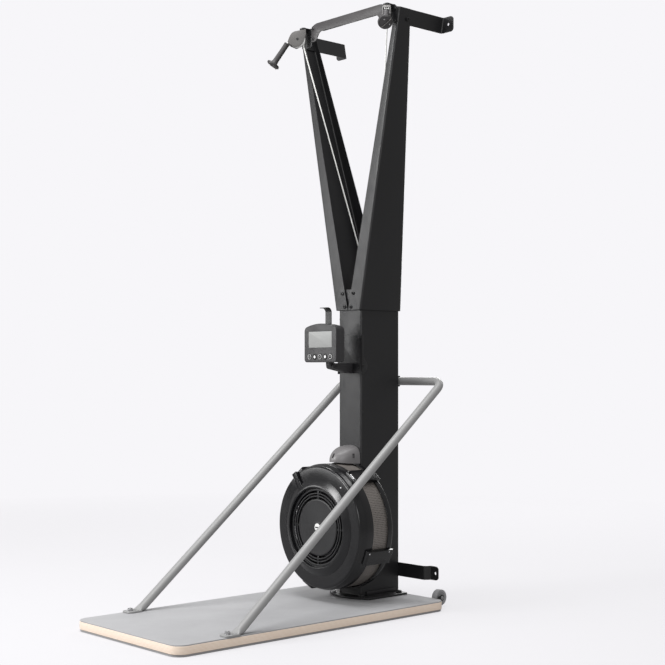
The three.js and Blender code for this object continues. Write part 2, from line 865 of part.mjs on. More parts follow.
// Lower wall bracket: a strap across the column's back, joggled out to a tab at each end
function buildLowerBracket() {
  const near = columnRearY + gap;
  const far = wallPlaneY - wallBracketThickness;
  const t = wallBracketThickness;
  const [strapEnd, tabStart] = [lowerStrapHalf, lowerStrapHalf + lowerJoggleRun];
  const tabEnd = tabStart + lowerTabLength;
  const slant = lowerJoggleRun / 2;
  const half = [
    [strapEnd, near],
    [tabStart, far],
    [tabEnd, far],
    [tabEnd, far + t],
    [tabStart - slant, far + t],
    [strapEnd - slant, near + t],
  ];
  const other = half.map(([x, y]) => [-x, y]).reverse();
  const flat = prism(outline([...half, ...other]), 'z', lowerStrapZ - lowerStrapHeight / 2, lowerStrapZ
    + lowerStrapHeight / 2);
  const face = roundedRect(2 * tabEnd, lowerStrapHeight, wallTabCorner, 0, lowerStrapZ);
  const rounding = prism(face, 'y', near - overrun, wallPlaneY + overrun);
  const holes = [-1, 1].map((side) => bar('y', wallHoleRadius, far - overrun, wallPlaneY + overrun, {
    x: side * (tabEnd - wallTabCorner),
    z: lowerStrapZ,
  }));
  piece('lower_wall_bracket', cut(flat.intersect(rounding), ...holes), 'steelBlack');
}

// The line that leaves the pulley's top at the droop angle, where cord and handle lie
function handleLine(droopDeg) {
  const droop = THREE.MathUtils.degToRad(droopDeg);
  const along = new THREE.Vector3(0, -Math.cos(droop), -Math.sin(droop));
  const normal = new THREE.Vector3(0, -Math.sin(droop), Math.cos(droop));
  const leave = new THREE.Vector3(0, -grooveRadius, 0).addScaledVector(normal, grooveRadius);
  return { droop, along, normal, leave };
}

// One side's yoke, pulley, handle and lead cord, in a frame turned to where the handle hangs
function buildSwivel(name, side, yawDeg, droopDeg) {
  const frame = new THREE.Group();
  frame.position.set(side * pivotX, pivotY, pulleyZ);
  frame.rotation.z = THREE.MathUtils.degToRad(side * yawDeg);
  machine.add(frame);
  const centre = { x: 0, y: -grooveRadius, z: 0 };
  const seat = Math.sqrt((cheekRadius + gap) ** 2 - (grooveRadius - handleTopRadius) ** 2);

  const steep = handleLine(leftDroopDeg);
  const tip = (along, across) => [
    steep.leave.y + steep.along.y * along + steep.normal.y * across,
    steep.leave.z + steep.along.z * along + steep.normal.z * across,
  ];
  const cheekShape = new THREE.Shape();
  cheekShape.moveTo(cheekBack, cheekTop);
  browShares.forEach(([y, z]) => cheekShape.lineTo(y * cheekTop, z * cheekTop));
  cheekShape.lineTo(...tip(seat - tipSlant, tipOver));
  cheekShape.lineTo(...tip(seat - gap, -tipUnder));
  cheekShape.lineTo(heelShare[0] * cheekTop, heelShare[1] * cheekTop);
  cheekShape.absarc(-grooveRadius, 0, pulleyRimRadius - heelEdge, 1.5 * Math.PI, 1.9 * Math.PI, false);
  cheekShape.lineTo(cheekBack, cheekTop - cheekShoulderDrop);
  const cheekOut = cheekGapHalf + cheekThickness;
  const parts = [-1, 1].map((end) => {
    const from = end > 0 ? cheekGapHalf : -cheekOut;
    return prism(cheekShape, 'x', from, from + cheekThickness);
  });
  const bridgeBlock = block(-cheekOut, cheekOut, -cheekBack, cheekBack, cheekTop - bridgeThickness, cheekTop);
  const bridge = bridgeBlock.intersect(prism(cheekShape, 'x', -cheekOut, cheekOut));
  const pivotHole = bar('z', pivotBoltRadius + gap, 0, cheekTop + overrun, { x: 0, y: 0 });
  const axle = join(
    bar('x', axleRadius, -cheekOut - axleHeadHeight, cheekOut + axleHeadHeight, centre),
    bar('x', axleHeadRadius, -cheekOut - axleHeadHeight, -cheekOut, centre),
    bar('x', axleHeadRadius, cheekOut, cheekOut + axleHeadHeight, centre),
  );
  piece(`yoke_${name}`, join(...parts, cut(bridge, pivotHole), axle), 'plasticGrey', frame);

  const halfWidth = pulleyWidth / 2;
  const grooveFloor = grooveRadius - cordRadius - gap;
  const grooveHalf = cordRadius + gap;
  const wheelProfile = [
    [axleRadius + gap, -halfWidth],
    [pulleyRimRadius, -halfWidth],
    [pulleyRimRadius, -grooveHalf - grooveFlare],
    [grooveFloor, -grooveHalf],
    [grooveFloor, grooveHalf],
    [pulleyRimRadius, grooveHalf + grooveFlare],
    [pulleyRimRadius, halfWidth],
    [axleRadius + gap, halfWidth],
  ];
  const wheel = turned(wheelProfile, { x: 0, z: 0 }, midRound).rotate([0, 0, 90]);
  piece(`pulley_${name}`, wheel.translate([0, -grooveRadius, 0]), 'nylon', frame);

  const { droop, along, leave } = handleLine(droopDeg);
  const start = leave.clone().addScaledVector(along, seat);
  const neck = handleLength - handleFlangeThickness - handleFlare;
  const rimStart = handleLength - handleFlangeThickness;
  const rimEnd = handleLength - handleDomeHeight;
  const profile = [
    [0, 0],
    [handleTopRadius, 0],
    [handleTopRadius, handleTopRadius / 2],
    [handleWaistRadius, handleTopRadius],
    [handleTopRadius, neck],
    [(handleTopRadius + handleFlangeRadius) / 2, rimStart - handleFlare / 4],
    [handleFlangeRadius, rimStart],
    [handleFlangeRadius, rimEnd],
    [handleFlangeRadius * Math.SQRT1_2, handleLength - handleDomeHeight / 3],
    [0, handleLength],
  ].map(([r, y]) => new THREE.Vector2(r, y));
  const grip = new THREE.LatheGeometry(profile, midRound);
  grip.applyQuaternion(new THREE.Quaternion().setFromUnitVectors(directions.y, along));
  grip.translate(start.x, start.y, start.z);
  piece(`handle_${name}`, solid(grip), 'plasticBlack', frame);

  const lead = Array.from({ length: leadSteps + 1 }, (_, i) => {
    const angle = (i / leadSteps) * (Math.PI / 2 + droop);
    return new THREE.Vector3(0, grooveRadius * (Math.cos(angle) - 1), grooveRadius * Math.sin(angle));
  });
  lead.unshift(new THREE.Vector3(0, 0, -leadDrop));
  lead.push(start.clone().addScaledVector(along, -gap));
  piece(`lead_cord_${name}`, tube(lead, cordRadius, cordSides), 'cord', frame);
}

// Drive cords from the pulleys over the guide rollers to the drums
function buildDriveCords() {
  [
    ['left', -1, leftCordY],
    ['right', 1, rightCordY],
  ].forEach(([name, side, y]) => {
    const top = new THREE.Vector3(side * pivotX, pivotY, pulleyZ - leadDrop - gap);
    const below = new THREE.Vector3(top.x, top.y, top.z - 2 * cordRadius);
    const rollerX = cordX + side * rollerRadius;
    const lean = Math.atan2(side * pivotX - cordX, pulleyZ - rollerZ);
    const touch = new THREE.Vector3(
      rollerX - side * rollerRadius * Math.cos(lean),
      y,
      rollerZ + rollerRadius * Math.abs(Math.sin(lean)),
    );
    const stations = [top, below, below.clone().lerp(touch, 0.5), touch];
    stations.push(new THREE.Vector3(cordX, y, rollerZ));
    stations.push(new THREE.Vector3(cordX, y, (rollerZ + wheelAxisZ) / 2));
    for (let i = 0; i <= wrapSteps; i += 1) {
      const angle = (i / wrapSteps) * (Math.PI / 2);
      stations.push(new THREE.Vector3(
        -drumRadius * Math.cos(angle),
        y,
        wheelAxisZ - drumRadius * Math.sin(angle),
      ));
    }
    piece(`drive_cord_${name}`, tube(stations, cordRadius, cordSides), 'cord');
  });
}

// Guide plate with a roller on each face, standing in the column's top
function buildCordGuide() {
  const middleY = (leftCordY + rightCordY) / 2;
  const [frontY, backY] = [middleY - guideSheet / 2, middleY + guideSheet / 2];
  const bottom = columnTopZ - guideHeight / 2;
  const headTop = rollerZ + guideHeadTop;
  const web = outline([
    [guideHalfWidth, bottom],
    [guideHalfWidth, columnTopZ],
    [guideHeadHalf, headTop],
    [-guideHeadHalf, headTop],
    [-guideHalfWidth, columnTopZ],
    [-guideHalfWidth, bottom],
  ]);
  const wings = [-1, 1].map((side) => {
    const from = side > 0 ? guideHalfWidth - guideSheet : -guideHalfWidth;
    return block(from, from + guideSheet, frontY - guideDepth, frontY + gap, bottom, columnTopZ);
  });
  const wallGap = columnHalfWidth - sheet - guideHalfWidth - gap;
  const pads = [-1, 1].map((side) => {
    const from = side > 0 ? guideHalfWidth - gap : -guideHalfWidth - wallGap;
    return block(from, from + wallGap + gap, frontY - guideDepth, backY, bottom, bottom + guideDepth);
  });
  const pinOf = (side, y) => {
    const x = cordX + side * rollerRadius;
    const [from, to] = side < 0 ? [y - rollerWidth / 2 - 2 * gap, frontY + gap] : [backY - gap, y
      + rollerWidth / 2 + 2 * gap];
    const headFrom = side < 0 ? from - axleHeadHeight : to;
    return join(
      bar('y', axleRadius, from - gap, to + gap, { x, z: rollerZ }, smallRound),
      bar('y', axleHeadRadius, headFrom, headFrom + axleHeadHeight, { x, z: rollerZ }, smallRound),
    );
  };
  const pins = [pinOf(-1, leftCordY), pinOf(1, rightCordY)];
  piece('cord_guide', join(prism(web, 'y', frontY, backY), ...wings, ...pads, ...pins), 'steelBlack');

  const half = rollerWidth / 2;
  const floor = rollerRadius - cordRadius - gap;
  const grooveHalf = cordRadius + gap;
  [
    ['left', -1, leftCordY],
    ['right', 1, rightCordY],
  ].forEach(([name, side, y]) => {
    const profile = [
      [axleRadius + gap, y - half],
      [rollerRim, y - half],
      [rollerRim, y - grooveHalf - grooveFlare],
      [floor, y - grooveHalf],
      [floor, y + grooveHalf],
      [rollerRim, y + grooveHalf + grooveFlare],
      [rollerRim, y + half],
      [axleRadius + gap, y + half],
    ];
    const centre = { x: cordX + side * rollerRadius, z: rollerZ };
    piece(`guide_roller_${name}`, turned(profile, centre, midRound), 'nylon');
  });
}

// Shaft with its bearings, the drums and the recoil spring cassettes
function buildDrive() {
  const axis = { x: 0, z: wheelAxisZ };
  const bore = shaftRadius + 2 * gap;
  const [shaftFrom, shaftTo] = [housingFrontY + fanFrontClear, columnRearY - sheet - 2 * gap];
  piece('flywheel_shaft', bar('y', shaftRadius, shaftFrom, shaftTo, axis), 'zinc');

  const flangeY = columnFrontY + sheet + gap;
  const front = turned([
    [bore, columnFrontY - housingBossHeight],
    [bearingRadius, columnFrontY - housingBossHeight],
    [bearingRadius, flangeY],
    [bearingFlangeRadius, flangeY],
    [bearingFlangeRadius, flangeY + bearingFlangeThickness],
    [bearingRadius, flangeY + bearingFlangeThickness],
    [bearingRadius, flangeY + bearingWidth],
    [bore, flangeY + bearingWidth],
  ], axis, midRound);
  piece('bearing_front', front, 'zinc');
  const rearEnd = columnRearY - sheet - gap;
  const rear = turned([
    [bore, rearEnd - rearBearingWidth],
    [bearingRadius, rearEnd - rearBearingWidth],
    [bearingRadius, rearEnd - bearingFlangeThickness],
    [bearingFlangeRadius, rearEnd - bearingFlangeThickness],
    [bearingFlangeRadius, rearEnd],
    [bore, rearEnd],
  ], axis, midRound);
  piece('bearing_rear', rear, 'zinc');

  const core = drumRadius - cordRadius - gap;
  const half = drumWidth / 2;
  [
    ['left', leftCordY, leftCordY - half - cassetteSpace - cassetteWidth],
    ['right', rightCordY, leftCordY - half - 2 * (cassetteSpace + cassetteWidth)],
  ].forEach(([name, y, cassetteY]) => {
    const profile = [
      [bore, y - half],
      [drumFlange, y - half],
      [drumFlange, y - half + drumFlangeThickness],
      [core, y - half + drumFlangeThickness],
      [core, y + half - drumFlangeThickness],
      [drumFlange, y + half - drumFlangeThickness],
      [drumFlange, y + half],
      [bore, y + half],
    ];
    piece(`drive_drum_${name}`, turned(profile, axis, midRound), 'nylon');
    const lip = cassetteRadius - drumFlangeThickness;
    const box = [
      [bore, cassetteY],
      [lip, cassetteY],
      [cassetteRadius, cassetteY + drumFlangeThickness],
      [cassetteRadius, cassetteY + cassetteWidth - drumFlangeThickness],
      [lip, cassetteY + cassetteWidth],
      [bore, cassetteY + cassetteWidth],
    ];
    const earHalf = columnHalfWidth - sheet - gap;
    const earY = cassetteY + cassetteWidth / 2;
    const ears = block(
      -earHalf,
      earHalf,
      earY - cassetteEar / 4,
      earY + cassetteEar / 4,
      wheelAxisZ - cassetteEar,
      wheelAxisZ + cassetteEar,
    );
    const through = bar('y', bore, cassetteY - overrun, cassetteY + cassetteWidth + overrun, axis, midRound);
    piece(`recoil_spring_${name}`, cut(join(turned(box, axis, midRound), ears), through), 'plasticGrey');
  });
}

// A solid turned about the flywheel's axis by an angle counted from +X towards +Z
function roundWheel(body, degrees) {
  return body.translate([0, 0, -wheelAxisZ]).rotate([0, -degrees, 0]).translate([0, 0, wheelAxisZ]);
}

// Front cover with its four tie blocks, which bridge the band
function buildFrontCover() {
  const front = housingFrontY;
  const slopeStart = front + coverSlopeStart;
  const slopeEnd = front + coverSlopeEnd;
  const back = front + coverSkirtDepth;
  const cover = turned([
    [intakeRadius + gap, front],
    [coverRimRadius - coverEdge, front],
    [coverRimRadius, front + coverEdge],
    [coverRimRadius, slopeStart],
    [coverSkirtRadius, slopeEnd],
    [coverSkirtRadius, back],
    [coverSkirtRadius - sheet, back],
    [coverSkirtRadius - sheet, slopeEnd],
    [coverRimRadius - sheet, slopeStart],
    [coverRimRadius - sheet, front + sheet],
    [intakeRadius + gap, front + sheet],
  ], { x: 0, z: wheelAxisZ }, ringRound);
  const lapEnd = columnFrontY - housingBossHeight - gap;
  const blockEnd = lapEnd - rearRimDepth;
  const [low, high] = [wheelAxisZ - blockWidth / 2, wheelAxisZ + blockWidth / 2];
  const blockIn = coverSkirtRadius - sheet + gap;
  const blockOut = coverSkirtRadius + blockHeight;
  const tie = join(
    block(blockIn, blockOut, slopeEnd + blockSetback, blockEnd, low, high),
    block(rearRimRadius + gap, blockOut, blockEnd - overrun, lapEnd, low, high),
  );
  const ties = tieAnglesDeg.map((angle) => roundWheel(tie, angle));
  piece('front_cover', join(cover, ...ties), 'plasticBlack');
}

// Intake grille: a centre disc and rings on their spokes, set into the cover's opening
function buildGrille() {
  const axis = { x: 0, z: wheelAxisZ };
  const [from, to] = [housingFrontY - grilleRise, housingFrontY - grilleRise + grilleDepth];
  const ring = (inner, outer, y0, y1) => turned([[inner, y0], [outer, y0], [outer, y1], [inner, y1]], axis);
  const pitch = (intakeRadius - grilleFlange - grilleDiscRadius) / grilleRings;
  const rings = Array.from({ length: grilleRings - 1 }, (_, i) => {
    const inner = grilleDiscRadius + (i + 1) * pitch - grilleRingWidth / 2;
    return ring(inner, inner + grilleRingWidth, from, to);
  });
  const rim = ring(intakeRadius - grilleFlange, intakeRadius - grilleFit, from + grilleRise / 2, to);
  const disc = bar('y', grilleDiscRadius, from, to, axis, bigRound);
  const spoke = block(
    grilleDiscRadius - overrun,
    intakeRadius - grilleFlange / 2,
    to - sheet,
    to,
    wheelAxisZ - grilleRingWidth,
    wheelAxisZ + grilleRingWidth,
  );
  const spokes = Array.from({ length: grilleSpokes }, (_, i) => roundWheel(spoke, (360 / grilleSpokes) * i));
  piece('intake_grille', join(disc, rim, ...rings, ...spokes), 'plasticBlack');
}

// Damper ring: a raised bezel round the intake with the lever that turns it
function buildDamper() {
  const seat = housingFrontY - gap;
  const ring = turned([
    [damperInner, seat],
    [damperInner, seat - damperRise],
    [damperCrest, seat - damperRise],
    [damperOuter, seat - gap],
    [damperOuter, seat],
  ], { x: 0, z: wheelAxisZ }, ringRound);
  const lever = block(
    leverInner,
    leverOuter,
    seat - leverThickness,
    seat,
    wheelAxisZ - leverWidth / 2,
    wheelAxisZ + leverWidth / 2,
  );
  const hook = block(
    coverRimRadius + gap,
    leverOuter,
    seat - leverThickness,
    seat + leverHookDepth,
    wheelAxisZ - leverWidth / 2,
    wheelAxisZ + leverWidth / 2,
  );
  piece('damper_ring', join(ring, roundWheel(join(lever, hook), leverAngleDeg)), 'plasticBlack');
}

// Rear housing, the band between it and the cover, and the hood over the band
function buildRearHousing() {
  const axis = { x: 0, z: wheelAxisZ };
  const bossBack = columnFrontY - gap;
  const wallBack = bossBack - housingBossHeight + gap;
  const wallFront = wallBack - sheet;
  const rimFront = wallBack - rearRimDepth;
  piece('rear_housing', turned([
    [housingBore, wallFront],
    [rearRimRadius - sheet, wallFront],
    [rearRimRadius - sheet, rimFront],
    [rearRimRadius, rimFront],
    [rearRimRadius, wallBack],
    [housingBossRadius, wallBack],
    [housingBossRadius, bossBack],
    [housingBore, bossBack],
  ], axis, ringRound), 'plasticBlack');

  const bandOut = coverSkirtRadius - sheet - gap;
  const bandFront = housingFrontY + coverSkirtDepth - bandLap;
  piece('cage_band', turned([
    [bandOut - bandThickness, bandFront],
    [bandOut, bandFront],
    [bandOut, wallFront - gap],
    [bandOut - bandThickness, wallFront - gap],
  ], axis, ringRound), 'bandSteel');

  const lowZ = wheelAxisZ + rearRimRadius / 2;
  const crownZ = wheelAxisZ + rearRimRadius + hoodRise - hoodCrown;
  const steps = Array.from({ length: faceSteps + 1 }, (_, i) => i / faceSteps);
  const level = (z, depth) => steps.map((share) => new THREE.Vector3(
    -hoodHalfWidth * Math.cos(share * Math.PI),
    bossBack - depth * Math.sin(share * Math.PI),
    z,
  ));
  const dome = steps.flatMap((share) => level(
    crownZ + hoodCrown * Math.sin(share * (Math.PI / 2)),
    hoodReach * Math.cos(share * (Math.PI / 2)),
  ));
  const body = hull([...level(lowZ, hoodReach), ...dome]);
  const under = bar('y', rearRimRadius + gap, 0, bossBack + overrun, axis, ringRound);
  const slotZ = wheelAxisZ + rearRimRadius + hoodSlotRise;
  const slots = hoodSlotAnglesDeg.map((angleDeg) => {
    const angle = THREE.MathUtils.degToRad(angleDeg);
    const reach = 1 / Math.hypot(Math.sin(angle) / hoodHalfWidth, Math.cos(angle) / hoodReach);
    return block(
      -hoodSlotWidth / 2,
      hoodSlotWidth / 2,
      -reach - overrun,
      hoodSlotDepth - reach,
      slotZ - hoodSlotHeight / 2,
      slotZ + hoodSlotHeight / 2,
    ).rotate([0, 0, angleDeg]).translate([0, bossBack, 0]);
  });
  piece('flywheel_hood', cut(body, under, ...slots), 'steelBlack');
}

// Fan wheel: hub, disc and blades on the shaft
function buildFan() {
  const axis = { x: 0, z: wheelAxisZ };
  const from = housingFrontY + fanFrontClear;
  const to = columnFrontY - housingBossHeight - sheet - fanRearClear;
  const middle = (from + to) / 2;
  const disc = turned([
    [shaftRadius + gap, from],
    [fanHubRadius, from],
    [fanHubRadius, middle],
    [fanRadius, middle],
    [fanRadius, middle + fanDiscThickness],
    [fanHubRadius, middle + fanDiscThickness],
    [fanHubRadius, to],
    [shaftRadius + gap, to],
  ], axis);
  const blade = block(
    fanBladeInner,
    fanRadius,
    from,
    to,
    wheelAxisZ - fanBladeThickness / 2,
    wheelAxisZ + fanBladeThickness / 2,
  );
  const blades = Array.from({ length: fanBlades }, (_, i) => roundWheel(blade, (360 / fanBlades) * i));
  piece('fan_wheel', join(disc, ...blades), 'bandSteel');
}

// Monitor case with its lug, screen, buttons and device hook
function buildMonitor() {
  const half = monitorWidth / 2;
  const cornerTopZ = monitorBottomZ + monitorHeight;
  const backY = monitorFrontY + monitorDepth;
  const shape = new THREE.Shape();
  const r = monitorCorner;
  shape.absarc(half - r, monitorBottomZ + r, r, -Math.PI / 2, 0, false);
  shape.absarc(half - r, cornerTopZ - r, r, 0, Math.PI / 2, false);
  shape.quadraticCurveTo(0, cornerTopZ + 2 * monitorCrown, r - half, cornerTopZ);
  shape.absarc(r - half, cornerTopZ - r, r, Math.PI / 2, Math.PI, false);
  shape.absarc(r - half, monitorBottomZ + r, r, Math.PI, 1.5 * Math.PI, false);
  const shell = prism(shape, 'y', monitorFrontY, backY, faceSteps);

  const screenZ = monitorBottomZ + screenRise;
  const pocketDepth = screenThickness + gap;
  const pocket = block(
    -screenWidth / 2 - gap,
    screenWidth / 2 + gap,
    monitorFrontY - overrun,
    monitorFrontY + pocketDepth,
    screenZ - gap,
    screenZ + screenHeight + gap,
  );
  const buttonZ = monitorBottomZ + buttonRise;
  const buttonX = (i) => (i - (buttonCount - 1) / 2) * buttonPitch;
  const buttonFrom = monitorFrontY - buttonProud;
  const wellEnd = buttonFrom + buttonHeight + buttonTravelSpace;
  const wells = Array.from({ length: buttonCount }, (_, i) => (
    bar('y', buttonRadius + gap, monitorFrontY - overrun, wellEnd, { x: buttonX(i), z: buttonZ })
  ));
  const hingeY = monitorFrontY + hingeBack;
  const lug = join(
    block(
      -lugHalfWidth,
      lugHalfWidth,
      backY - monitorCorner,
      hingeY,
      hingeZ - lugRadius,
      monitorBottomZ + lugRadius,
    ),
    bar('x', lugRadius, -lugHalfWidth, lugHalfWidth, { y: hingeY, z: hingeZ }),
  );
  const bore = bar('x', hingeRadius + gap, -lugHalfWidth - overrun, lugHalfWidth + overrun, {
    y: hingeY,
    z: hingeZ,
  });
  piece('monitor_case', cut(join(shell, lug), pocket, bore, ...wells), 'plasticBlack');
  piece('monitor_screen', block(
    -screenWidth / 2,
    screenWidth / 2,
    monitorFrontY,
    monitorFrontY + screenThickness,
    screenZ,
    screenZ + screenHeight,
  ), 'screen');
  for (let i = 0; i < buttonCount; i += 1) {
    const cap = bar('y', buttonRadius, buttonFrom, buttonFrom + buttonHeight, { x: buttonX(i), z: buttonZ });
    piece(`button_${i + 1}`, cap, 'rubber');
  }

  // Device hook: a strip up the case's back that curls forward over the top
  const hookY = backY + gap;
  const hookTop = cornerTopZ + hookRise;
  const hook = new THREE.Shape();
  hook.moveTo(hookY, cornerTopZ - hookLap);
  hook.lineTo(hookY + hookSheet, cornerTopZ - hookLap);
  hook.lineTo(hookY + hookSheet, hookTop - hookReach / 2);
  hook.quadraticCurveTo(hookY + hookSheet, hookTop, hookY - hookReach / 2, hookTop);
  hook.lineTo(hookY - hookReach, hookTop - hookTip);
  hook.lineTo(hookY - hookReach + hookSheet, hookTop - hookTip - hookSheet);
  hook.lineTo(hookY - hookReach / 2, hookTop - hookSheet);
  hook.quadraticCurveTo(hookY, hookTop - hookSheet, hookY, hookTop - hookReach / 2);
  piece('device_hook', prism(hook, 'x', -hookWidth / 2, hookWidth / 2, faceSteps), 'steelBlack');
}

// Monitor arm with its fork and hinge pin, and the bracket that wraps the column
function buildMonitorArm() {
  const hingeY = monitorFrontY + hingeBack;
  const forkIn = lugHalfWidth + gap;
  const forkOut = forkIn + forkThickness;
  const bracketFront = columnFrontY - gap - clampThickness;
  const armBack = bracketFront - gap;
  const low = hingeZ - armBarHeight;
  const bodyStart = hingeY + lugRadius + sheet;
  const side = outline([
    [hingeY, hingeZ + lugRadius],
    [armBack, hingeZ + lugRadius],
    [armBack, low],
    [armBack - lugRadius, low],
    [hingeY, hingeZ - lugRadius],
  ]);
  const whole = join(
    prism(side, 'x', -forkOut, forkOut),
    bar('x', lugRadius, -forkOut, forkOut, { y: hingeY, z: hingeZ }),
  );
  const slot = block(
    -forkIn,
    forkIn,
    hingeY - 2 * lugRadius,
    bodyStart,
    low - overrun,
    hingeZ + lugRadius + overrun,
  );
  const pin = bar('x', hingeRadius, -forkOut - axleHeadHeight, forkOut + axleHeadHeight, {
    y: hingeY,
    z: hingeZ,
  });
  piece('monitor_arm', join(cut(whole, slot), pin), 'steelBlack');

  const outer = columnHalfWidth + gap + clampSheet;
  const clampBottom = hingeZ + lugRadius - clampDrop;
  const plate = block(-outer, outer, bracketFront, columnFrontY - gap, clampBottom, clampBottom + clampHeight);
  const cheekY = columnFrontY;
  const cheeks = [-1, 1].map((end) => {
    const from = end > 0 ? columnHalfWidth + gap : -outer;
    return join(
      bar('x', clampCheekRadius, from, from + clampSheet, { y: cheekY, z: hingeZ }),
      block(
        from,
        from + clampSheet,
        bracketFront,
        columnFrontY + columnCorner,
        clampBottom,
        clampBottom + clampHeight,
      ),
    );
  });
  const front = block(
    -2 * outer,
    2 * outer,
    bracketFront - 2 * clampCheekRadius,
    bracketFront,
    clampBottom - clampHeight,
    clampBottom + 2 * clampHeight,
  );
  piece('monitor_bracket', cut(join(plate, ...cheeks), front), 'steelBlack');
}

buildStand();
buildRail();
buildCastors();
buildBase();
buildColumn();
buildArms();
buildCrossbar();
buildSwivelMounts();
buildWallBrackets();
buildLowerBracket();
buildSwivel('left', -1, leftYawDeg, leftDroopDeg);
buildSwivel('right', 1, rightYawDeg, rightDroopDeg);
buildDriveCords();
buildCordGuide();
buildDrive();
buildFrontCover();
buildGrille();
buildDamper();
buildRearHousing();
buildFan();
buildMonitor();
buildMonitorArm();

export default machine;
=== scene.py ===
"""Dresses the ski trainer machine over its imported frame, one sub-assembly at a time."""

import logging
import math
from collections.abc import Sequence
from dataclasses import dataclass
from enum import Enum
from functools import cache

import bmesh
import bpy
from mathutils import Matrix, Vector


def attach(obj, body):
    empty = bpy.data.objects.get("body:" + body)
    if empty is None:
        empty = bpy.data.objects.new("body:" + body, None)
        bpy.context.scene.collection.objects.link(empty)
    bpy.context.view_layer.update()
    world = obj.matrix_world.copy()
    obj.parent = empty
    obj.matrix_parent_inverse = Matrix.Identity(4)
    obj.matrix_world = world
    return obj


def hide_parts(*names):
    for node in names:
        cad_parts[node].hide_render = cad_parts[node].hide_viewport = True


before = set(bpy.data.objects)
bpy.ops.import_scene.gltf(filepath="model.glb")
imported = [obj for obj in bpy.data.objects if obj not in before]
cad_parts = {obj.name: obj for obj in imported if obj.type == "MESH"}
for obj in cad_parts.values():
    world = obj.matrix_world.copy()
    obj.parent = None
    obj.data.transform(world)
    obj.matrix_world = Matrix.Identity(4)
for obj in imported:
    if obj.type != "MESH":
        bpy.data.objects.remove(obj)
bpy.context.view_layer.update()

log = logging.getLogger("ski_trainer")

Span = tuple[float, float]
Corner = tuple[float, ...]
Outline = tuple[Corner, ...]
Socket = bpy.types.NodeSocket

MM = 0.001
TINY = 1e-4
WELD = 1e-5
SHARP = math.radians(32)
IMAGE_SIDE = 665
UP, ACROSS = Vector((0, 0, 1)), Vector((1, 0, 0))
FRONT, REAR = Vector((0, -1, 0)), Vector((0, 1, 0))


def srgb(red: float, green: float, blue: float) -> Corner:
    """Turns screen values from 0 to 255 into a linear colour.

    Args:
        red: Red on the screen.
        green: Green on the screen.
        blue: Blue on the screen.

    Returns:
        The linear colour with full alpha.
    """

    def linear(value: float) -> float:
        """Linear value of one channel."""
        share = value / 255
        return share / 12.92 if share <= 0.04045 else ((share + 0.055) / 1.055) ** 2.4

    return linear(red), linear(green), linear(blue), 1.0


class Side(Enum):
    """The user's left or right side of the machine."""

    LEFT = "left"
    RIGHT = "right"

    @property
    def sign(self) -> int:
        """Minus one on the left and one on the right."""
        return -1 if self is Side.LEFT else 1


class Axis(Enum):
    """The direction in which a plate is thick or about which a form is turned."""

    X = (0, 0, 1, 0), (1, 0, 0, 0), (0, 1, 0, 0), (0, 0, 0, 1)
    Y = (1, 0, 0, 0), (0, 0, 1, 0), (0, 1, 0, 0), (0, 0, 0, 1)
    Z = (1, 0, 0, 0), (0, 1, 0, 0), (0, 0, 1, 0), (0, 0, 0, 1)

    @property
    def basis(self) -> Matrix:
        """Matrix that stands a drawing up, so that its depth runs along this axis."""
        return Matrix(self.value)


# Shader graphs


class Graph:
    """Adds and links nodes in one node tree."""

    def __init__(self, tree: bpy.types.NodeTree) -> None:
        """Keeps the tree that it fills."""
        self.tree = tree

    def node(self, kind: str, inputs: dict | None = None, **settings: object) -> bpy.types.Node:
        """Adds a node.

        Args:
            kind: The node's type.
            inputs: Sockets by name or number, each a socket to link or a value.
            settings: Attributes of the node.

        Returns:
            The new node.
        """
        made = self.tree.nodes.new(kind)
        for name, value in settings.items():
            setattr(made, name, value)
        for key, value in (inputs or {}).items():
            if isinstance(value, Socket):
                self.tree.links.new(value, made.inputs[key])
            else:
                made.inputs[key].default_value = value
        return made

    def math(self, operation: str, *values: object) -> Socket:
        """Result of a math node with these inputs."""
        return self.node("ShaderNodeMath", dict(enumerate(values)), operation=operation).outputs[0]

    def stretched(self, vector: Socket, factors: Corner) -> Socket:
        """A vector with each of its parts multiplied."""
        return self.node("ShaderNodeVectorMath", {0: vector, 1: factors}, operation="MULTIPLY").outputs[0]

    def blend(self, factor: object, first: object, second: object) -> Socket:
        """A mix of two colours, in which the factor says how much of the second shows."""
        return self.node("ShaderNodeMix", {0: factor, 6: first, 7: second}, data_type="RGBA").outputs[2]

    def ramp(self, value: object, low: float, high: float, start: object, end: object) -> Socket:
        """A value clamped between low and high, which become start and end."""
        wired = {0: value, 1: low, 2: high, 3: start, 4: end}
        return self.node("ShaderNodeMapRange", wired).outputs[0]

    def noise(self, vector: Socket, scale: object, detail: float = 3.0) -> Socket:
        """Value of a noise texture."""
        wired = {"Vector": vector, "Scale": scale, "Detail": detail}
        return self.node("ShaderNodeTexNoise", wired).outputs[0]


class Effect(Enum):
    """Surface effects that several finishes share, each one node group."""

    TONE = "tone_patches"
    GRAIN = "fine_grain"
    # Edge tone that is partly wear and partly painted highlight along folds and rims.
    WEAR_AND_HIGHLIGHT = "worn_and_highlit_edges"
    DUST = "settled_dust"
    PLY = "ply_layers"
    BRAID = "cord_braid"

    @property
    @cache
    def group(self) -> bpy.types.NodeTree:
        """The effect's node group, built when first asked for."""
        return EffectGraph(self).tree


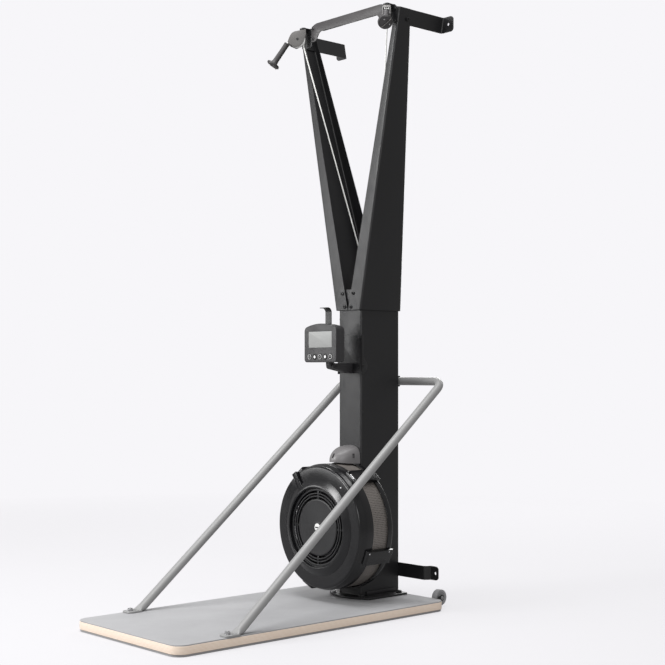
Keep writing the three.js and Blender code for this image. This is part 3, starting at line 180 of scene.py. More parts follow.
class EffectGraph(Graph):
    """The node group of one effect, which fills itself when it is made."""

    kinds = {"Vector": "Vector", "Map": "Vector", "Light": "Color", "Dark": "Color", "Colour": "Color"}
    sockets = {
        Effect.TONE: (("Vector", "Scale", "Light", "Dark"), ("Colour",)),
        Effect.GRAIN: (("Vector", "Scale"), ("Height",)),
        Effect.WEAR_AND_HIGHLIGHT: (("Vector", "Radius", "Amount"), ("Mask",)),
        Effect.DUST: (("Vector", "Amount"), ("Mask",)),
        Effect.PLY: (("Vector", "Layer", "Light", "Dark"), ("Colour", "Height")),
        Effect.BRAID: (("Map",), ("Height",)),
    }

    def __init__(self, effect: Effect) -> None:
        """Makes the group with its sockets and fills it.

        Args:
            effect: What the group draws.
        """
        super().__init__(bpy.data.node_groups.new(effect.value, "ShaderNodeTree"))
        for way, names in zip(("INPUT", "OUTPUT"), self.sockets[effect]):
            for name in names:
                kind = "NodeSocket" + self.kinds.get(name, "Float")
                self.tree.interface.new_socket(name=name, in_out=way, socket_type=kind)
        entry, self.exit = self.node("NodeGroupInput"), self.node("NodeGroupOutput")
        self.given = {name: entry.outputs[name] for name in self.sockets[effect][0]}
        getattr(self, effect.value)()

    def send(self, name: str, value: Socket) -> None:
        """Links a socket to one of the group's outputs."""
        self.tree.links.new(value, self.exit.inputs[name])

    def tone_patches(self) -> None:
        """Drifts softly between two close tones."""
        mask = self.ramp(self.noise(self.given["Vector"], self.given["Scale"], 4.0), 0.32, 0.68, 0.0, 1.0)
        self.send("Colour", self.blend(mask, self.given["Light"], self.given["Dark"]))

    def fine_grain(self) -> None:
        """Draws the pebble of powder coat and moulded plastic."""
        coarse = self.noise(self.given["Vector"], self.given["Scale"], 2.0)
        fine = self.noise(self.given["Vector"], self.math("MULTIPLY", self.given["Scale"], 2.7), 1.0)
        self.send("Height", self.math("MULTIPLY_ADD", fine, 0.5, coarse))

    def worn_and_highlit_edges(self) -> None:
        """Masks the edges for a lighter tone that is partly rubbed wear and partly painted highlight."""
        soft = self.node("ShaderNodeBevel", {"Radius": self.given["Radius"]}, samples=4).outputs[0]
        flat = self.node("ShaderNodeNewGeometry").outputs["Normal"]
        same = self.node("ShaderNodeVectorMath", {0: soft, 1: flat}, operation="DOT_PRODUCT").outputs["Value"]
        edge = self.ramp(self.math("SUBTRACT", 1.0, same), 0.02, 0.3, 0.0, self.given["Amount"])
        patchy = self.ramp(self.noise(self.given["Vector"], 60.0, 4.0), 0.4, 0.62, 0.0, 1.0)
        self.send("Mask", self.math("MULTIPLY", edge, patchy))

    def settled_dust(self) -> None:
        """Masks the faces that look up, for faint dust."""
        normal = self.node("ShaderNodeNewGeometry").outputs["Normal"]
        upward = self.node("ShaderNodeSeparateXYZ", {0: normal}).outputs[2]
        lying = self.ramp(upward, 0.55, 1.0, 0.0, self.given["Amount"])
        cloud = self.ramp(self.noise(self.given["Vector"], 9.0, 5.0), 0.3, 0.75, 0.25, 1.0)
        self.send("Mask", self.math("MULTIPLY", lying, cloud))

    def ply_layers(self) -> None:
        """Draws the stacked veneers on the board's edge."""
        wobble = self.noise(self.stretched(self.given["Vector"], (5.0, 5.0, 90.0)), 2.0, 3.0)
        height = self.node("ShaderNodeSeparateXYZ", {0: self.given["Vector"]}).outputs[2]
        lifted = self.math("MULTIPLY_ADD", wobble, 0.0007, height)
        band = self.math("PINGPONG", self.math("DIVIDE", lifted, self.given["Layer"]), 1.0)
        layer = self.ramp(band, 0.35, 0.65, 0.0, 1.0)
        along = self.stretched(self.given["Vector"], (14.0, 14.0, 600.0))
        fibre = self.ramp(self.noise(along, 3.0, 5.0), 0.3, 0.7, 0.0, 0.45)
        mask = self.math("ADD", self.math("MULTIPLY", layer, 0.6), fibre)
        self.send("Colour", self.blend(mask, self.given["Light"], self.given["Dark"]))
        self.send("Height", self.math("SUBTRACT", 1.0, mask))

    def cord_braid(self) -> None:
        """Draws the crossing strands of a braided cord, on its own map."""
        parts = self.node("ShaderNodeSeparateXYZ", {0: self.given["Map"]})
        run = self.math("MULTIPLY", parts.outputs[0], math.tau)
        turn = self.math("MULTIPLY", parts.outputs[1], math.tau * 4)
        one = self.math("SINE", self.math("ADD", run, turn))
        other = self.math("SINE", self.math("SUBTRACT", run, turn))
        self.send("Height", self.math("MULTIPLY", one, other))


# Finishes


@dataclass(frozen=True)
class Finish:
    """A surface: its two tones as screen values, its roughness, grain, edges lightened partly by wear and
    partly as painted highlight, and dust.
    """

    name: str
    slot: str
    light: Corner
    dark: Corner
    rough: Span = (0.4, 0.55)
    metal: float = 0.0
    tone_scale: float = 3.0
    grain_scale: float = 900.0
    grain_depth: float = 0.12
    wear_and_highlight: float = 0.0
    wear_and_highlight_radius: float = 0.0012
    worn_and_highlight_tone: Corner = (110, 108, 107)
    dust: float = 0.0
    dust_tone: Corner = (190, 188, 186)

    def effect(self, graph: Graph, effect: Effect, **inputs: object) -> bpy.types.Node:
        """Node that places a shared group in a graph, with its input sockets or values."""
        return graph.node("ShaderNodeGroup", inputs, node_tree=effect.group)

    def colour(self, graph: Graph, place: Socket) -> Socket:
        """Base colour before wear and dust, from object coordinates."""
        tones = {"Light": srgb(*self.light), "Dark": srgb(*self.dark)}
        return self.effect(graph, Effect.TONE, Vector=place, Scale=self.tone_scale, **tones).outputs["Colour"]

    def height(self, graph: Graph, place: Socket) -> Socket:
        """Height of the surface grain, from object coordinates."""
        return self.effect(graph, Effect.GRAIN, Vector=place, Scale=self.grain_scale).outputs["Height"]

    def material(self) -> bpy.types.Material:
        """The finish's material, built when first asked for.

        Returns:
            The material.
        """
        found = bpy.data.materials.get(self.name)
        if found:
            return found
        made = bpy.data.materials.new(self.name)
        made.use_nodes = True
        made.node_tree.nodes.clear()
        graph = Graph(made.node_tree)
        place = graph.node("ShaderNodeTexCoord").outputs["Object"]
        colour = self.colour(graph, place)
        # Edges get a lighter tone that is partly wear and partly painted highlight.
        if self.wear_and_highlight:
            edge_wear_and_highlight = self.effect(graph, Effect.WEAR_AND_HIGHLIGHT, Vector=place, Radius=self.wear_and_highlight_radius, Amount=self.wear_and_highlight)
            colour = graph.blend(edge_wear_and_highlight.outputs["Mask"], colour, srgb(*self.worn_and_highlight_tone))
        if self.dust:
            lying = self.effect(graph, Effect.DUST, Vector=place, Amount=self.dust)
            colour = graph.blend(lying.outputs["Mask"], colour, srgb(*self.dust_tone))
        rough = graph.ramp(graph.noise(place, 22.0, 4.0), 0.3, 0.7, *self.rough)
        relief = {"Strength": self.grain_depth, "Distance": MM, "Height": self.height(graph, place)}
        bump = graph.node("ShaderNodeBump", relief).outputs[0]
        wired = {"Base Color": colour, "Roughness": rough, "Normal": bump, "Metallic": self.metal}
        shader = graph.node("ShaderNodeBsdfPrincipled", wired)
        graph.node("ShaderNodeOutputMaterial", {"Surface": shader.outputs[0]})
        return made


@dataclass(frozen=True)
class PlyFinish(Finish):
    """Birch ply whose edge shows its layers."""

    layer: float = 0.0019

    def layers(self, graph: Graph, place: Socket) -> bpy.types.Node:
        """Node that draws the layers, from object coordinates."""
        tones = {"Light": srgb(*self.light), "Dark": srgb(*self.dark)}
        return self.effect(graph, Effect.PLY, Vector=place, Layer=self.layer, **tones)

    def colour(self, graph: Graph, place: Socket) -> Socket:
        """Colour of the layered edge, from object coordinates."""
        return self.layers(graph, place).outputs["Colour"]

    def height(self, graph: Graph, place: Socket) -> Socket:
        """Height of the layered edge, from object coordinates."""
        return self.layers(graph, place).outputs["Height"]


@dataclass(frozen=True)
class BraidFinish(Finish):
    """A braided cord, whose strands follow its own map."""

    def height(self, graph: Graph, place: Socket) -> Socket:
        """Height of the strands, which don't need object coordinates."""
        own = graph.node("ShaderNodeTexCoord").outputs["UV"]
        return self.effect(graph, Effect.BRAID, Map=own).outputs["Height"]


class Finishes:
    """Every finish on the machine."""

    UNDERLAY = Finish(
        "underlay_grey", "underlay_rubber", (150, 149, 150), (136, 136, 137), (0.75, 0.9), grain_scale=500.0
    )
    BIRCH = PlyFinish(
        "birch_edge", "board_birch", (250, 238, 226), (226, 200, 176), (0.45, 0.6), grain_depth=0.1
    )
    MAT = Finish(
        "mat_foam", "mat_grey", (160, 160, 162), (154, 154, 156), (0.8, 0.95),
        tone_scale=5.0, grain_scale=420.0, grain_depth=0.35,
    )
    RAIL = Finish("rail_coat", "rail_grey", (148, 148, 148), (143, 143, 143), (0.38, 0.48), grain_depth=0.01)
    # Its lighter edge tone is partly wear and partly painted highlight.
    BLACK = Finish(
        "frame_coat", "frame_black", (24, 24, 26), (20, 20, 22), (0.36, 0.46),
        wear_and_highlight=0.2, worn_and_highlight_tone=(70, 68, 68), dust=0.02,
    )
    # Its lighter edge tone is partly wear and partly painted highlight.
    CROSSBAR = Finish("crossbar_coat", "crossbar_grey", (66, 64, 65), (60, 58, 59), (0.36, 0.48), wear_and_highlight=0.2)
    ZINC = Finish(
        "zinc_plate", "bolt_zinc", (205, 205, 206), (170, 170, 172), (0.25, 0.4), metal=1.0, grain_depth=0.03
    )
    COVER = Finish(
        "cover_plastic", "cover_black", (18, 18, 20), (16, 16, 18), (0.2, 0.27),
        grain_scale=1500.0, grain_depth=0.02,
    )
    GRILLE = Finish(
        "grille_plastic", "cover_black", (26, 26, 28), (23, 23, 25), (0.42, 0.52),
        grain_scale=1300.0, grain_depth=0.06,
    )
    HOOD = Finish(
        "hood_plastic", "cover_black", (118, 116, 117), (110, 108, 109), (0.34, 0.42),
        grain_scale=1300.0, grain_depth=0.05,
    )
    # Pale grey for the seam ridge on the handle's end, a painted highlight.
    SEAM_HIGHLIGHT = Finish("seam_highlight_grey", "crossbar_grey", (126, 122, 120), (112, 109, 107), (0.4, 0.5), grain_depth=0.03)
    BAND = Finish(
        "band_steel", "band_grey", (138, 132, 128), (126, 121, 117), (0.4, 0.52), metal=0.35, grain_depth=0.04
    )
    FAN = Finish(
        "fan_metal", "fan_grey", (104, 103, 104), (94, 93, 95), (0.4, 0.5), metal=0.4, grain_depth=0.05
    )
    YOKE = Finish("yoke_cast", "yoke_grey", (98, 96, 95), (92, 90, 89), (0.38, 0.48), grain_depth=0.03)
    NYLON = Finish(
        "nylon_white", "nylon_white", (226, 226, 224), (216, 216, 214), (0.35, 0.5), grain_depth=0.04
    )
    CORD = BraidFinish(
        "cord_white", "cord_white", (240, 240, 238), (226, 226, 224), (0.7, 0.85),
        tone_scale=30.0, grain_depth=0.6,
    )
    GRIP = Finish(
        "grip_rubber", "grip_black", (56, 54, 55), (50, 48, 49), (0.42, 0.54),
        grain_scale=700.0, grain_depth=0.06,
    )
    BUTTON = Finish(
        "button_rubber", "button_rubber", (38, 37, 39), (34, 33, 35), (0.55, 0.7), grain_depth=0.05
    )
    MARK = Finish(
        "mark_white", "button_rubber", (235, 235, 235), (222, 222, 222), (0.5, 0.6), grain_depth=0.02
    )
    # Its lighter edge tone is partly wear and partly painted highlight.
    CASE = Finish(
        "case_plastic", "cover_black", (44, 43, 45), (40, 39, 41), (0.42, 0.54),
        grain_scale=1200.0, grain_depth=0.1, wear_and_highlight=0.1, worn_and_highlight_tone=(84, 82, 82),
    )
    SCREEN = Finish(
        "screen_panel", "screen_grey", (152, 153, 152), (146, 147, 146), (0.42, 0.5),
        tone_scale=14.0, grain_depth=0.01,
    )
    WHEEL = Finish("wheel_rubber", "wheel_grey", (150, 150, 152), (138, 138, 140), (0.6, 0.75))


# Mesh making


class Blank:
    """A mesh in millimetres that operators shape before it becomes a piece."""

    def __init__(self) -> None:
        """Starts empty."""
        self.mesh = bmesh.new()

    def add(self, *others: "Blank") -> "Blank":
        """Takes other blanks into this one.

        Args:
            others: The blanks to take in, which are used up.

        Returns:
            This blank.
        """
        for other in others:
            held = bpy.data.meshes.new("held")
            other.mesh.to_mesh(held)
            other.mesh.free()
            self.mesh.from_mesh(held)
            bpy.data.meshes.remove(held)
        return self

    def mapped_run(self, pitch: float) -> None:
        """Lays a map along a loft and round it.

        Args:
            pitch: The length that one step of the map covers.
        """
        run_of, turn_of = self.mesh.verts.layers.float["run"], self.mesh.verts.layers.float["turn"]
        own = self.mesh.loops.layers.uv.new("UVMap")
        for face in self.mesh.faces:
            late = any(loop.vert[turn_of] > 0.6 for loop in face.loops)
            for loop in face.loops:
                turn = loop.vert[turn_of]
                loop[own].uv = (loop.vert[run_of] / pitch, turn + 1 if late and turn < 0.4 else turn)

    def place(self, matrix: Matrix) -> "Blank":
        """Moves the whole blank.

        Args:
            matrix: Where it goes.

        Returns:
            This blank.
        """
        bmesh.ops.transform(self.mesh, matrix=matrix, verts=self.mesh.verts[:])
        if matrix.determinant() < 0:
            bmesh.ops.reverse_faces(self.mesh, faces=self.mesh.faces[:])
        return self

    def mirrored(self, side: Side) -> "Blank":
        """Turns a right-hand blank into the one for the given side.

        Args:
            side: The side it is for.

        Returns:
            This blank.
        """
        return self if side is Side.RIGHT else self.place(Matrix.Scale(-1, 4, (1, 0, 0)))

    def closed(self) -> "Blank":
        """Merges doubles and turns every face outwards.

        Returns:
            This blank.
        """
        bmesh.ops.remove_doubles(self.mesh, verts=self.mesh.verts[:], dist=TINY)
        bmesh.ops.recalc_face_normals(self.mesh, faces=self.mesh.faces[:])
        return self

    def eased(self, width: float, steps: int = 2, least: float = SHARP) -> "Blank":
        """Rounds every sharp edge a little.

        Args:
            width: How far the rounding reaches.
            steps: How many faces it has.
            least: The angle from which an edge counts as sharp.

        Returns:
            This blank.
        """
        if width <= 0:
            return self
        self.mesh.normal_update()
        sharp = [e for e in self.mesh.edges if e.is_manifold and e.calc_face_angle(0) > least]
        bmesh.ops.bevel(
            self.mesh,
            geom=sharp,
            offset=width,
            offset_type="OFFSET",
            affect="EDGES",
            segments=steps,
            profile=0.5,
            clamp_overlap=True,
            material=-1,
        )
        return self

    def rounded(self, corners: Sequence[Corner], verts: Sequence[bmesh.types.BMVert], steps: int) -> None:
        """Rounds the corners of a flat outline that give a third number.

        Args:
            corners: The outline's corners, each with its rounding as third number.
            verts: Their vertices.
            steps: How many edges each rounding has.
        """
        for vert, corner in zip(verts, corners):
            if len(corner) > 2 and corner[2] > 0:
                bmesh.ops.bevel(
                    self.mesh,
                    geom=[vert],
                    offset=corner[2],
                    offset_type="OFFSET",
                    affect="VERTICES",
                    segments=steps,
                    profile=0.5,
                    clamp_overlap=False,
                    material=-1,
                )

    def shown(self, name: str) -> bpy.types.Object:
        """An object of this blank, which is used up.

        Args:
            name: What to call it.

        Returns:
            The object, linked to the scene.
        """
        mesh = bpy.data.meshes.new(name)
        self.mesh.to_mesh(mesh)
        self.mesh.free()
        made = bpy.data.objects.new(name, mesh)
        bpy.context.scene.collection.objects.link(made)
        return made

    def cut(self, *tools: "Blank") -> "Blank":
        """Cuts closed blanks out of this one.

        Args:
            tools: The blanks to cut out, which are used up.

        Returns:
            This blank.
        """
        body = self.shown("body")
        bits = [tool.shown("tool") for tool in tools]
        for bit in bits:
            change = body.modifiers.new("cut", "BOOLEAN")
            change.operation, change.solver, change.object = "DIFFERENCE", "EXACT", bit
        result = bpy.data.meshes.new_from_object(body.evaluated_get(bpy.context.evaluated_depsgraph_get()))
        self.mesh = bmesh.new()
        self.mesh.from_mesh(result)
        bpy.data.meshes.remove(result)
        for thing in [body, *bits]:
            used = thing.data
            bpy.data.objects.remove(thing)
            bpy.data.meshes.remove(used)
        return self

    def piece(
        self, name: str, finish: Finish, body: str = "frame", replaces: str = "", smooth: float = 34.0
    ) -> bpy.types.Object:
        """Turns the blank into a piece of the machine.

        Args:
            name: The piece's name.
            finish: What it is covered with.
            body: The body that it moves with.
            replaces: The node that it stands for, or none.
            smooth: The angle in degrees under which faces shade as one.

        Returns:
            The piece.
        """
        bmesh.ops.scale(self.mesh, vec=(MM, MM, MM), verts=self.mesh.verts[:])
        made = self.shown(name)
        mesh = made.data
        mesh.shade_smooth()
        mesh.set_sharp_from_angle(angle=math.radians(smooth))
        mesh.materials.append(finish.material())
        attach(made, body)
        if replaces:
            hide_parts(replaces)
        log.info("%s: %d faces in %s on %s", name, len(mesh.polygons), finish.name, body)
        return made


def plate(
    corners: Sequence[Corner],
    axis: Axis,
    start: float,
    end: float,
    edge: float = 0.6,
    edge_steps: int = 2,
    corner_steps: int = 6,
) -> Blank:
    """A flat outline given thickness along an axis.

    Args:
        corners: Two places in the drawing for each corner, and its rounding if it has one.
        axis: The axis of the thickness.
        start: Where it starts on that axis.
        end: Where it ends.
        edge: How far its edges are rounded.
        edge_steps: How many faces that rounding has.
        corner_steps: How many edges each corner's rounding has.

    Returns:
        The blank.
    """
    made = Blank()
    verts = [made.mesh.verts.new((corner[0], corner[1], start)) for corner in corners]
    made.mesh.faces.new(verts)
    made.rounded(corners, verts, corner_steps)
    grown = bmesh.ops.extrude_face_region(made.mesh, geom=made.mesh.faces[:])
    risen = [item for item in grown["geom"] if isinstance(item, bmesh.types.BMVert)]
    bmesh.ops.translate(made.mesh, verts=risen, vec=(0, 0, end - start))
    made.place(axis.basis).closed()
    return made.eased(edge, edge_steps)


def turned(
    profile: Sequence[Corner],
    axis: Axis,
    centre: Corner = (0.0, 0.0, 0.0),
    steps: int = 48,
    corner_steps: int = 3,
) -> Blank:
    """A profile spun about an axis.

    Args:
        profile: Radius and depth of each corner of the closed profile, and its rounding if it has one.
        axis: The axis that it turns about.
        centre: A point on that axis; profile depths are counted from it.
        steps: How many faces go round.
        corner_steps: How many edges each corner's rounding has.

    Returns:
        The blank.
    """
    made = Blank()
    verts = [made.mesh.verts.new((corner[0], 0, corner[1])) for corner in profile]
    made.mesh.faces.new(verts)
    made.rounded(profile, verts, corner_steps)
    bmesh.ops.delete(made.mesh, geom=made.mesh.faces[:], context="FACES_ONLY")
    spine = [e for e in made.mesh.edges if all(abs(v.co.x) < TINY for v in e.verts)]
    bmesh.ops.delete(made.mesh, geom=spine, context="EDGES")
    bmesh.ops.spin(
        made.mesh,
        geom=made.mesh.verts[:] + made.mesh.edges[:],
        cent=(0, 0, 0),
        axis=(0, 0, 1),
        dvec=(0, 0, 0),
        angle=math.tau,
        steps=steps,
        use_merge=True,
    )
    return made.closed().place(Matrix.Translation(centre) @ axis.basis).closed()


def block(x: Corner, y: Corner, z: Corner, edge: float = 0.8, edge_steps: int = 2) -> Blank:
    """A block with rounded edges.

    Args:
        x: Its two places on X.
        y: Its two places on Y.
        z: Its two places on Z.
        edge: How far its edges are rounded.
        edge_steps: How many faces that rounding has.

    Returns:
        The blank.
    """
    made = Blank()
    size = Vector((x[1] - x[0], y[1] - y[0], z[1] - z[0]))
    middle = Vector((x[0] + x[1], y[0] + y[1], z[0] + z[1])) / 2
    place = Matrix.Translation(middle) @ Matrix.Diagonal((*size, 1))
    bmesh.ops.create_cube(made.mesh, size=1.0, matrix=place)
    return made.closed().eased(edge, edge_steps)


def rod(
    axis: Axis,
    radius: float,
    start: float,
    end: float,
    centre: Sequence[float] = (0.0, 0.0, 0.0),
    sides: int = 24,
    edge: float = 0.5,
) -> Blank:
    """A round bar, or a hexagon one with six sides.

    Args:
        axis: The axis that it lies along.
        radius: Its radius, at its corners.
        start: Where it starts on that axis.
        end: Where it ends.
        centre: A point on its middle line.
        sides: How many sides it has.
        edge: How far its rims are rounded.

    Returns:
        The blank.
    """
    made = Blank()
    bmesh.ops.create_cone(
        made.mesh,
        cap_ends=True,
        segments=sides,
        radius1=radius,
        radius2=radius,
        depth=end - start,
        matrix=Matrix.Translation((0, 0, (start + end) / 2)),
    )
    along = axis.basis @ UP
    off = Vector(centre) - along * Vector(centre).dot(along)
    made.place(Matrix.Translation(off) @ axis.basis).closed()
    return made.eased(edge, 2, math.radians(62) if sides > 6 else SHARP)


def facing(direction: Vector, at: Sequence[float]) -> Matrix:
    """Place of a form that is built upwards from the origin, by where its top points and its foot goes."""
    return Matrix.Translation(at) @ direction.to_track_quat("Z", "Y").to_matrix().to_4x4()


@dataclass(frozen=True)
class Fastener:
    """A bolt, screw or rivet head, drawn upwards from where it sits."""

    width: float
    height: float

    def head(self) -> Blank:
        """The head with its foot at the origin."""
        raise NotImplementedError

    def at(self, way: Vector, *spots: Sequence[float]) -> Blank:
        """Heads that all point one way.

        Args:
            way: Which way they point.
            spots: Where each of them sits.

        Returns:
            The blank.
        """
        return Blank().add(*(self.head().place(facing(way, spot)) for spot in spots))


@dataclass(frozen=True)
class HexBolt(Fastener):
    """A hexagon head as wide as its flats, with its washer's radius and thickness."""

    washer: float = 0.0
    thick: float = 1.6

    def head(self) -> Blank:
        """The head on its washer, with a ring pressed into its top.

        Returns:
            The blank.
        """
        base = self.thick if self.washer else 0.0
        top, neck = base + self.height, self.width * 0.42
        made = rod(Axis.Z, self.width / math.sqrt(3), base, top, sides=6, edge=self.height * 0.1)
        low, high = top - 0.4, top + 0.35
        inner, hollow = neck * 0.72, neck * 0.66
        ring = [(0, low), (neck, low), (neck, high, 0.3), (inner, high, 0.3), (hollow, top), (0, top)]
        made.add(turned(ring, Axis.Z, steps=24))
        if self.washer:
            made.add(rod(Axis.Z, self.washer, 0, base, sides=32, edge=self.thick * 0.25))
        return made


@dataclass(frozen=True)
class SocketScrew(Fastener):
    """A round head with a hexagon socket, as wide as its radius."""

    def head(self) -> Blank:
        """The head with its socket.

        Returns:
            The blank.
        """
        width, height = self.width, self.height
        made = turned([(0, 0), (width, 0), (width, height, height * 0.45), (0, height)], Axis.Z, steps=24)
        return made.cut(rod(Axis.Z, width * 0.5, height * 0.4, height * 1.6, sides=6, edge=0))


@dataclass(frozen=True)
class Rivet(Fastener):
    """A domed rivet head, as wide as its radius."""

    width: float = 3.4
    height: float = 1.5

    def head(self) -> Blank:
        """The dome, sunk a little into what it holds.

        Returns:
            The blank.
        """
        wide, high, sunk = self.width, self.height, 0.3
        dome = [(0, -sunk), (wide, -sunk), (wide, sunk), (wide - 1, high - sunk), (0, high)]
        return turned(dome, Axis.Z, steps=16)


def folded(
    start: Sequence[Vector],
    end: Sequence[Vector],
    fold: float,
    thickness: float,
    steps: int = 5,
    edge: float = 0.4,
) -> Blank:
    """A bent sheet between two lines of corners.

    Args:
        start: The corners along its first end.
        end: The same corners along its other end.
        fold: How far each bend is rounded.
        thickness: Thickness of the sheet, on the side that its sign gives.
        steps: How many faces each bend has.
        edge: How far the cut edges are rounded.

    Returns:
        The blank.
    """
    made = Blank()
    bm = made.mesh
    verts = [bm.verts.new(Vector(point)) for point in start]
    for first, second in zip(verts, verts[1:]):
        bm.edges.new((first, second))
    grown = bmesh.ops.extrude_edge_only(bm, edges=bm.edges[:])
    fresh = {item for item in grown["geom"] if isinstance(item, bmesh.types.BMVert)}
    bends = []
    for i, vert in enumerate(verts):
        link = next(e for e in vert.link_edges if e.other_vert(vert) in fresh)
        link.other_vert(vert).co = Vector(end[i])
        if 0 < i < len(verts) - 1:
            bends.append(link)
    bmesh.ops.recalc_face_normals(bm, faces=bm.faces[:])
    if fold > 0 and bends:
        rounding = {"offset": fold, "offset_type": "OFFSET", "segments": steps, "profile": 0.5}
        bmesh.ops.bevel(bm, geom=bends, affect="EDGES", material=-1, **rounding)
    bmesh.ops.solidify(bm, geom=bm.faces[:], thickness=thickness)
    return made.closed().eased(edge, 1, math.radians(60))


def bent(
    corners: Sequence[Corner],
    low: float,
    high: float,
    fold: float,
    thickness: float,
    steps: int,
    edge: float = 0.6,
) -> Blank:
    """An upright bent sheet.

    Args:
        corners: Two places in plan for each corner.
        low: Where it starts.
        high: Where it ends.
        fold: How far each bend is rounded.
        thickness: Thickness of the sheet, on the side that its sign gives.
        steps: How many faces each bend has.
        edge: How far the cut edges are rounded.

    Returns:
        The blank.
    """
    start, end = ([Vector((*corner, z)) for corner in corners] for z in (low, high))
    return folded(start, end, fold, thickness, steps, edge)


def lofted(places: Sequence[Matrix], sides: int = 28) -> Blank:
    """A closed form bridged from ring to ring.

    Args:
        places: Where each ring of unit radius goes and how it is stretched, in order.
        sides: How many sides each ring has.

    Returns:
        The blank, which knows how far along and round each vertex lies.
    """
    made = Blank()
    bm = made.mesh
    run_of = bm.verts.layers.float.new("run")
    turn_of = bm.verts.layers.float.new("turn")
    rings, run = [], 0.0
    for i, place in enumerate(places):
        if i:
            run += (place.translation - places[i - 1].translation).length
        ends = i in (0, len(places) - 1)
        verts = bmesh.ops.create_circle(bm, cap_ends=ends, radius=1.0, segments=sides)["verts"]
        for k, vert in enumerate(verts):
            vert[run_of], vert[turn_of] = run, k / sides
        bmesh.ops.transform(bm, matrix=place, verts=verts)
        rings.append(list({e for v in verts for e in v.link_edges}))
    for first, second in zip(rings, rings[1:]):
        bmesh.ops.bridge_loops(bm, edges=first + second)
    bmesh.ops.recalc_face_normals(bm, faces=bm.faces[:])
    return made


def ring_place(centre: Vector, along: Vector, across: Vector, wide: float, high: float) -> Matrix:
    """Place of one ring of a loft.

    Args:
        centre: Its middle.
        along: The way the loft runs there.
        across: The way its width lies, as near as the run allows.
        wide: Its half width.
        high: Its half height.

    Returns:
        The matrix.
    """
    level = along.cross(across).normalized()
    flat = level.cross(along).normalized()
    turn = Matrix((flat * wide, level * high, along.normalized())).transposed()
    return Matrix.Translation(centre) @ turn.to_4x4()


def courses(points: Sequence[Vector]) -> list[Vector]:
    """The way that a line runs at each of its points.

    Args:
        points: The line's points.

    Returns:
        A unit vector for each point.
    """
    steps = [(b - a).normalized() for a, b in zip(points, points[1:])]
    return [(into + out).normalized() for into, out in zip([Vector(), *steps], [*steps, Vector()])]


def tube_places(points: Sequence[Vector], radius: float, up: Vector) -> list[Matrix]:
    """Rings of a round tube along points.

    Args:
        points: The points on its middle line.
        radius: Its radius.
        up: A direction that the tube never runs along.

    Returns:
        The places of its rings.
    """
    return [ring_place(point, along, up, radius, radius) for point, along in zip(points, courses(points))]


def bend(before: Vector, corner: Vector, after: Vector, radius: float, steps: int) -> list[Vector]:
    """Points round a corner between two straight runs.

    Args:
        before: A point on the first run.
        corner: Where the runs would meet.
        after: A point on the second run.
        radius: Radius of the bend.
        steps: How many parts it has.

    Returns:
        The points.
    """
    into, out = (before - corner).normalized(), (after - corner).normalized()
    half = into.angle(out) / 2
    centre = corner + (into + out).normalized() * radius / math.sin(half)
    start = corner + into * radius / math.tan(half) - centre
    end = corner + out * radius / math.tan(half) - centre
    return [centre + start.slerp(end, i / steps) * radius for i in range(steps + 1)]


def oblong(x: Span, y: Span, corner: float = 0.0) -> list[Corner]:
    """Outline of a rectangle from its two spans, with rounded corners."""
    return [(x[0], y[0], corner), (x[1], y[0], corner), (x[1], y[1], corner), (x[0], y[1], corner)]


def doubled(half: Sequence[Corner], flip: tuple[int, int]) -> list[Corner]:
    """Outline made whole from one half, whose twin corners have the signs in flip."""
    return [*half, *((corner[0] * flip[0], corner[1] * flip[1], *corner[2:]) for corner in reversed(half))]


def keep(node: str, finish: Finish, edge: float = 0.5) -> None:
    """Gives a node of the frame its finish and softer edges.

    Args:
        node: The node's name.
        finish: What it is covered with.
        edge: How far its edges are rounded, in millimetres.
    """
    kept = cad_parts[node]
    for place in kept.material_slots:
        place.material = finish.material()
    weld = kept.modifiers.new("weld", "WELD")
    weld.merge_threshold = WELD
    if edge:
        ease = kept.modifiers.new("edges", "BEVEL")
        ease.width, ease.segments = edge * MM, 2
        ease.limit_method, ease.angle_limit = "ANGLE", math.radians(40)
    log.info("%s: kept in %s", node, finish.name)


# Studio


@dataclass(frozen=True)
class Light:
    """A soft square light: its place and side in metres and its power in watts."""

    name: str
    place: Corner
    size: float
    power: float

    def hang(self, aim: Corner) -> None:
        """Hangs the light.

        Args:
            aim: The point that it faces, in metres.
        """
        data = bpy.data.lights.new(self.name, "AREA")
        data.shape, data.size, data.energy = "SQUARE", self.size, self.power
        lamp = bpy.data.objects.new(self.name, data)
        lamp.location = self.place
        lamp.rotation_euler = (Vector(self.place) - Vector(aim)).to_track_quat("Z", "Y").to_euler()
        bpy.context.scene.collection.objects.link(lamp)


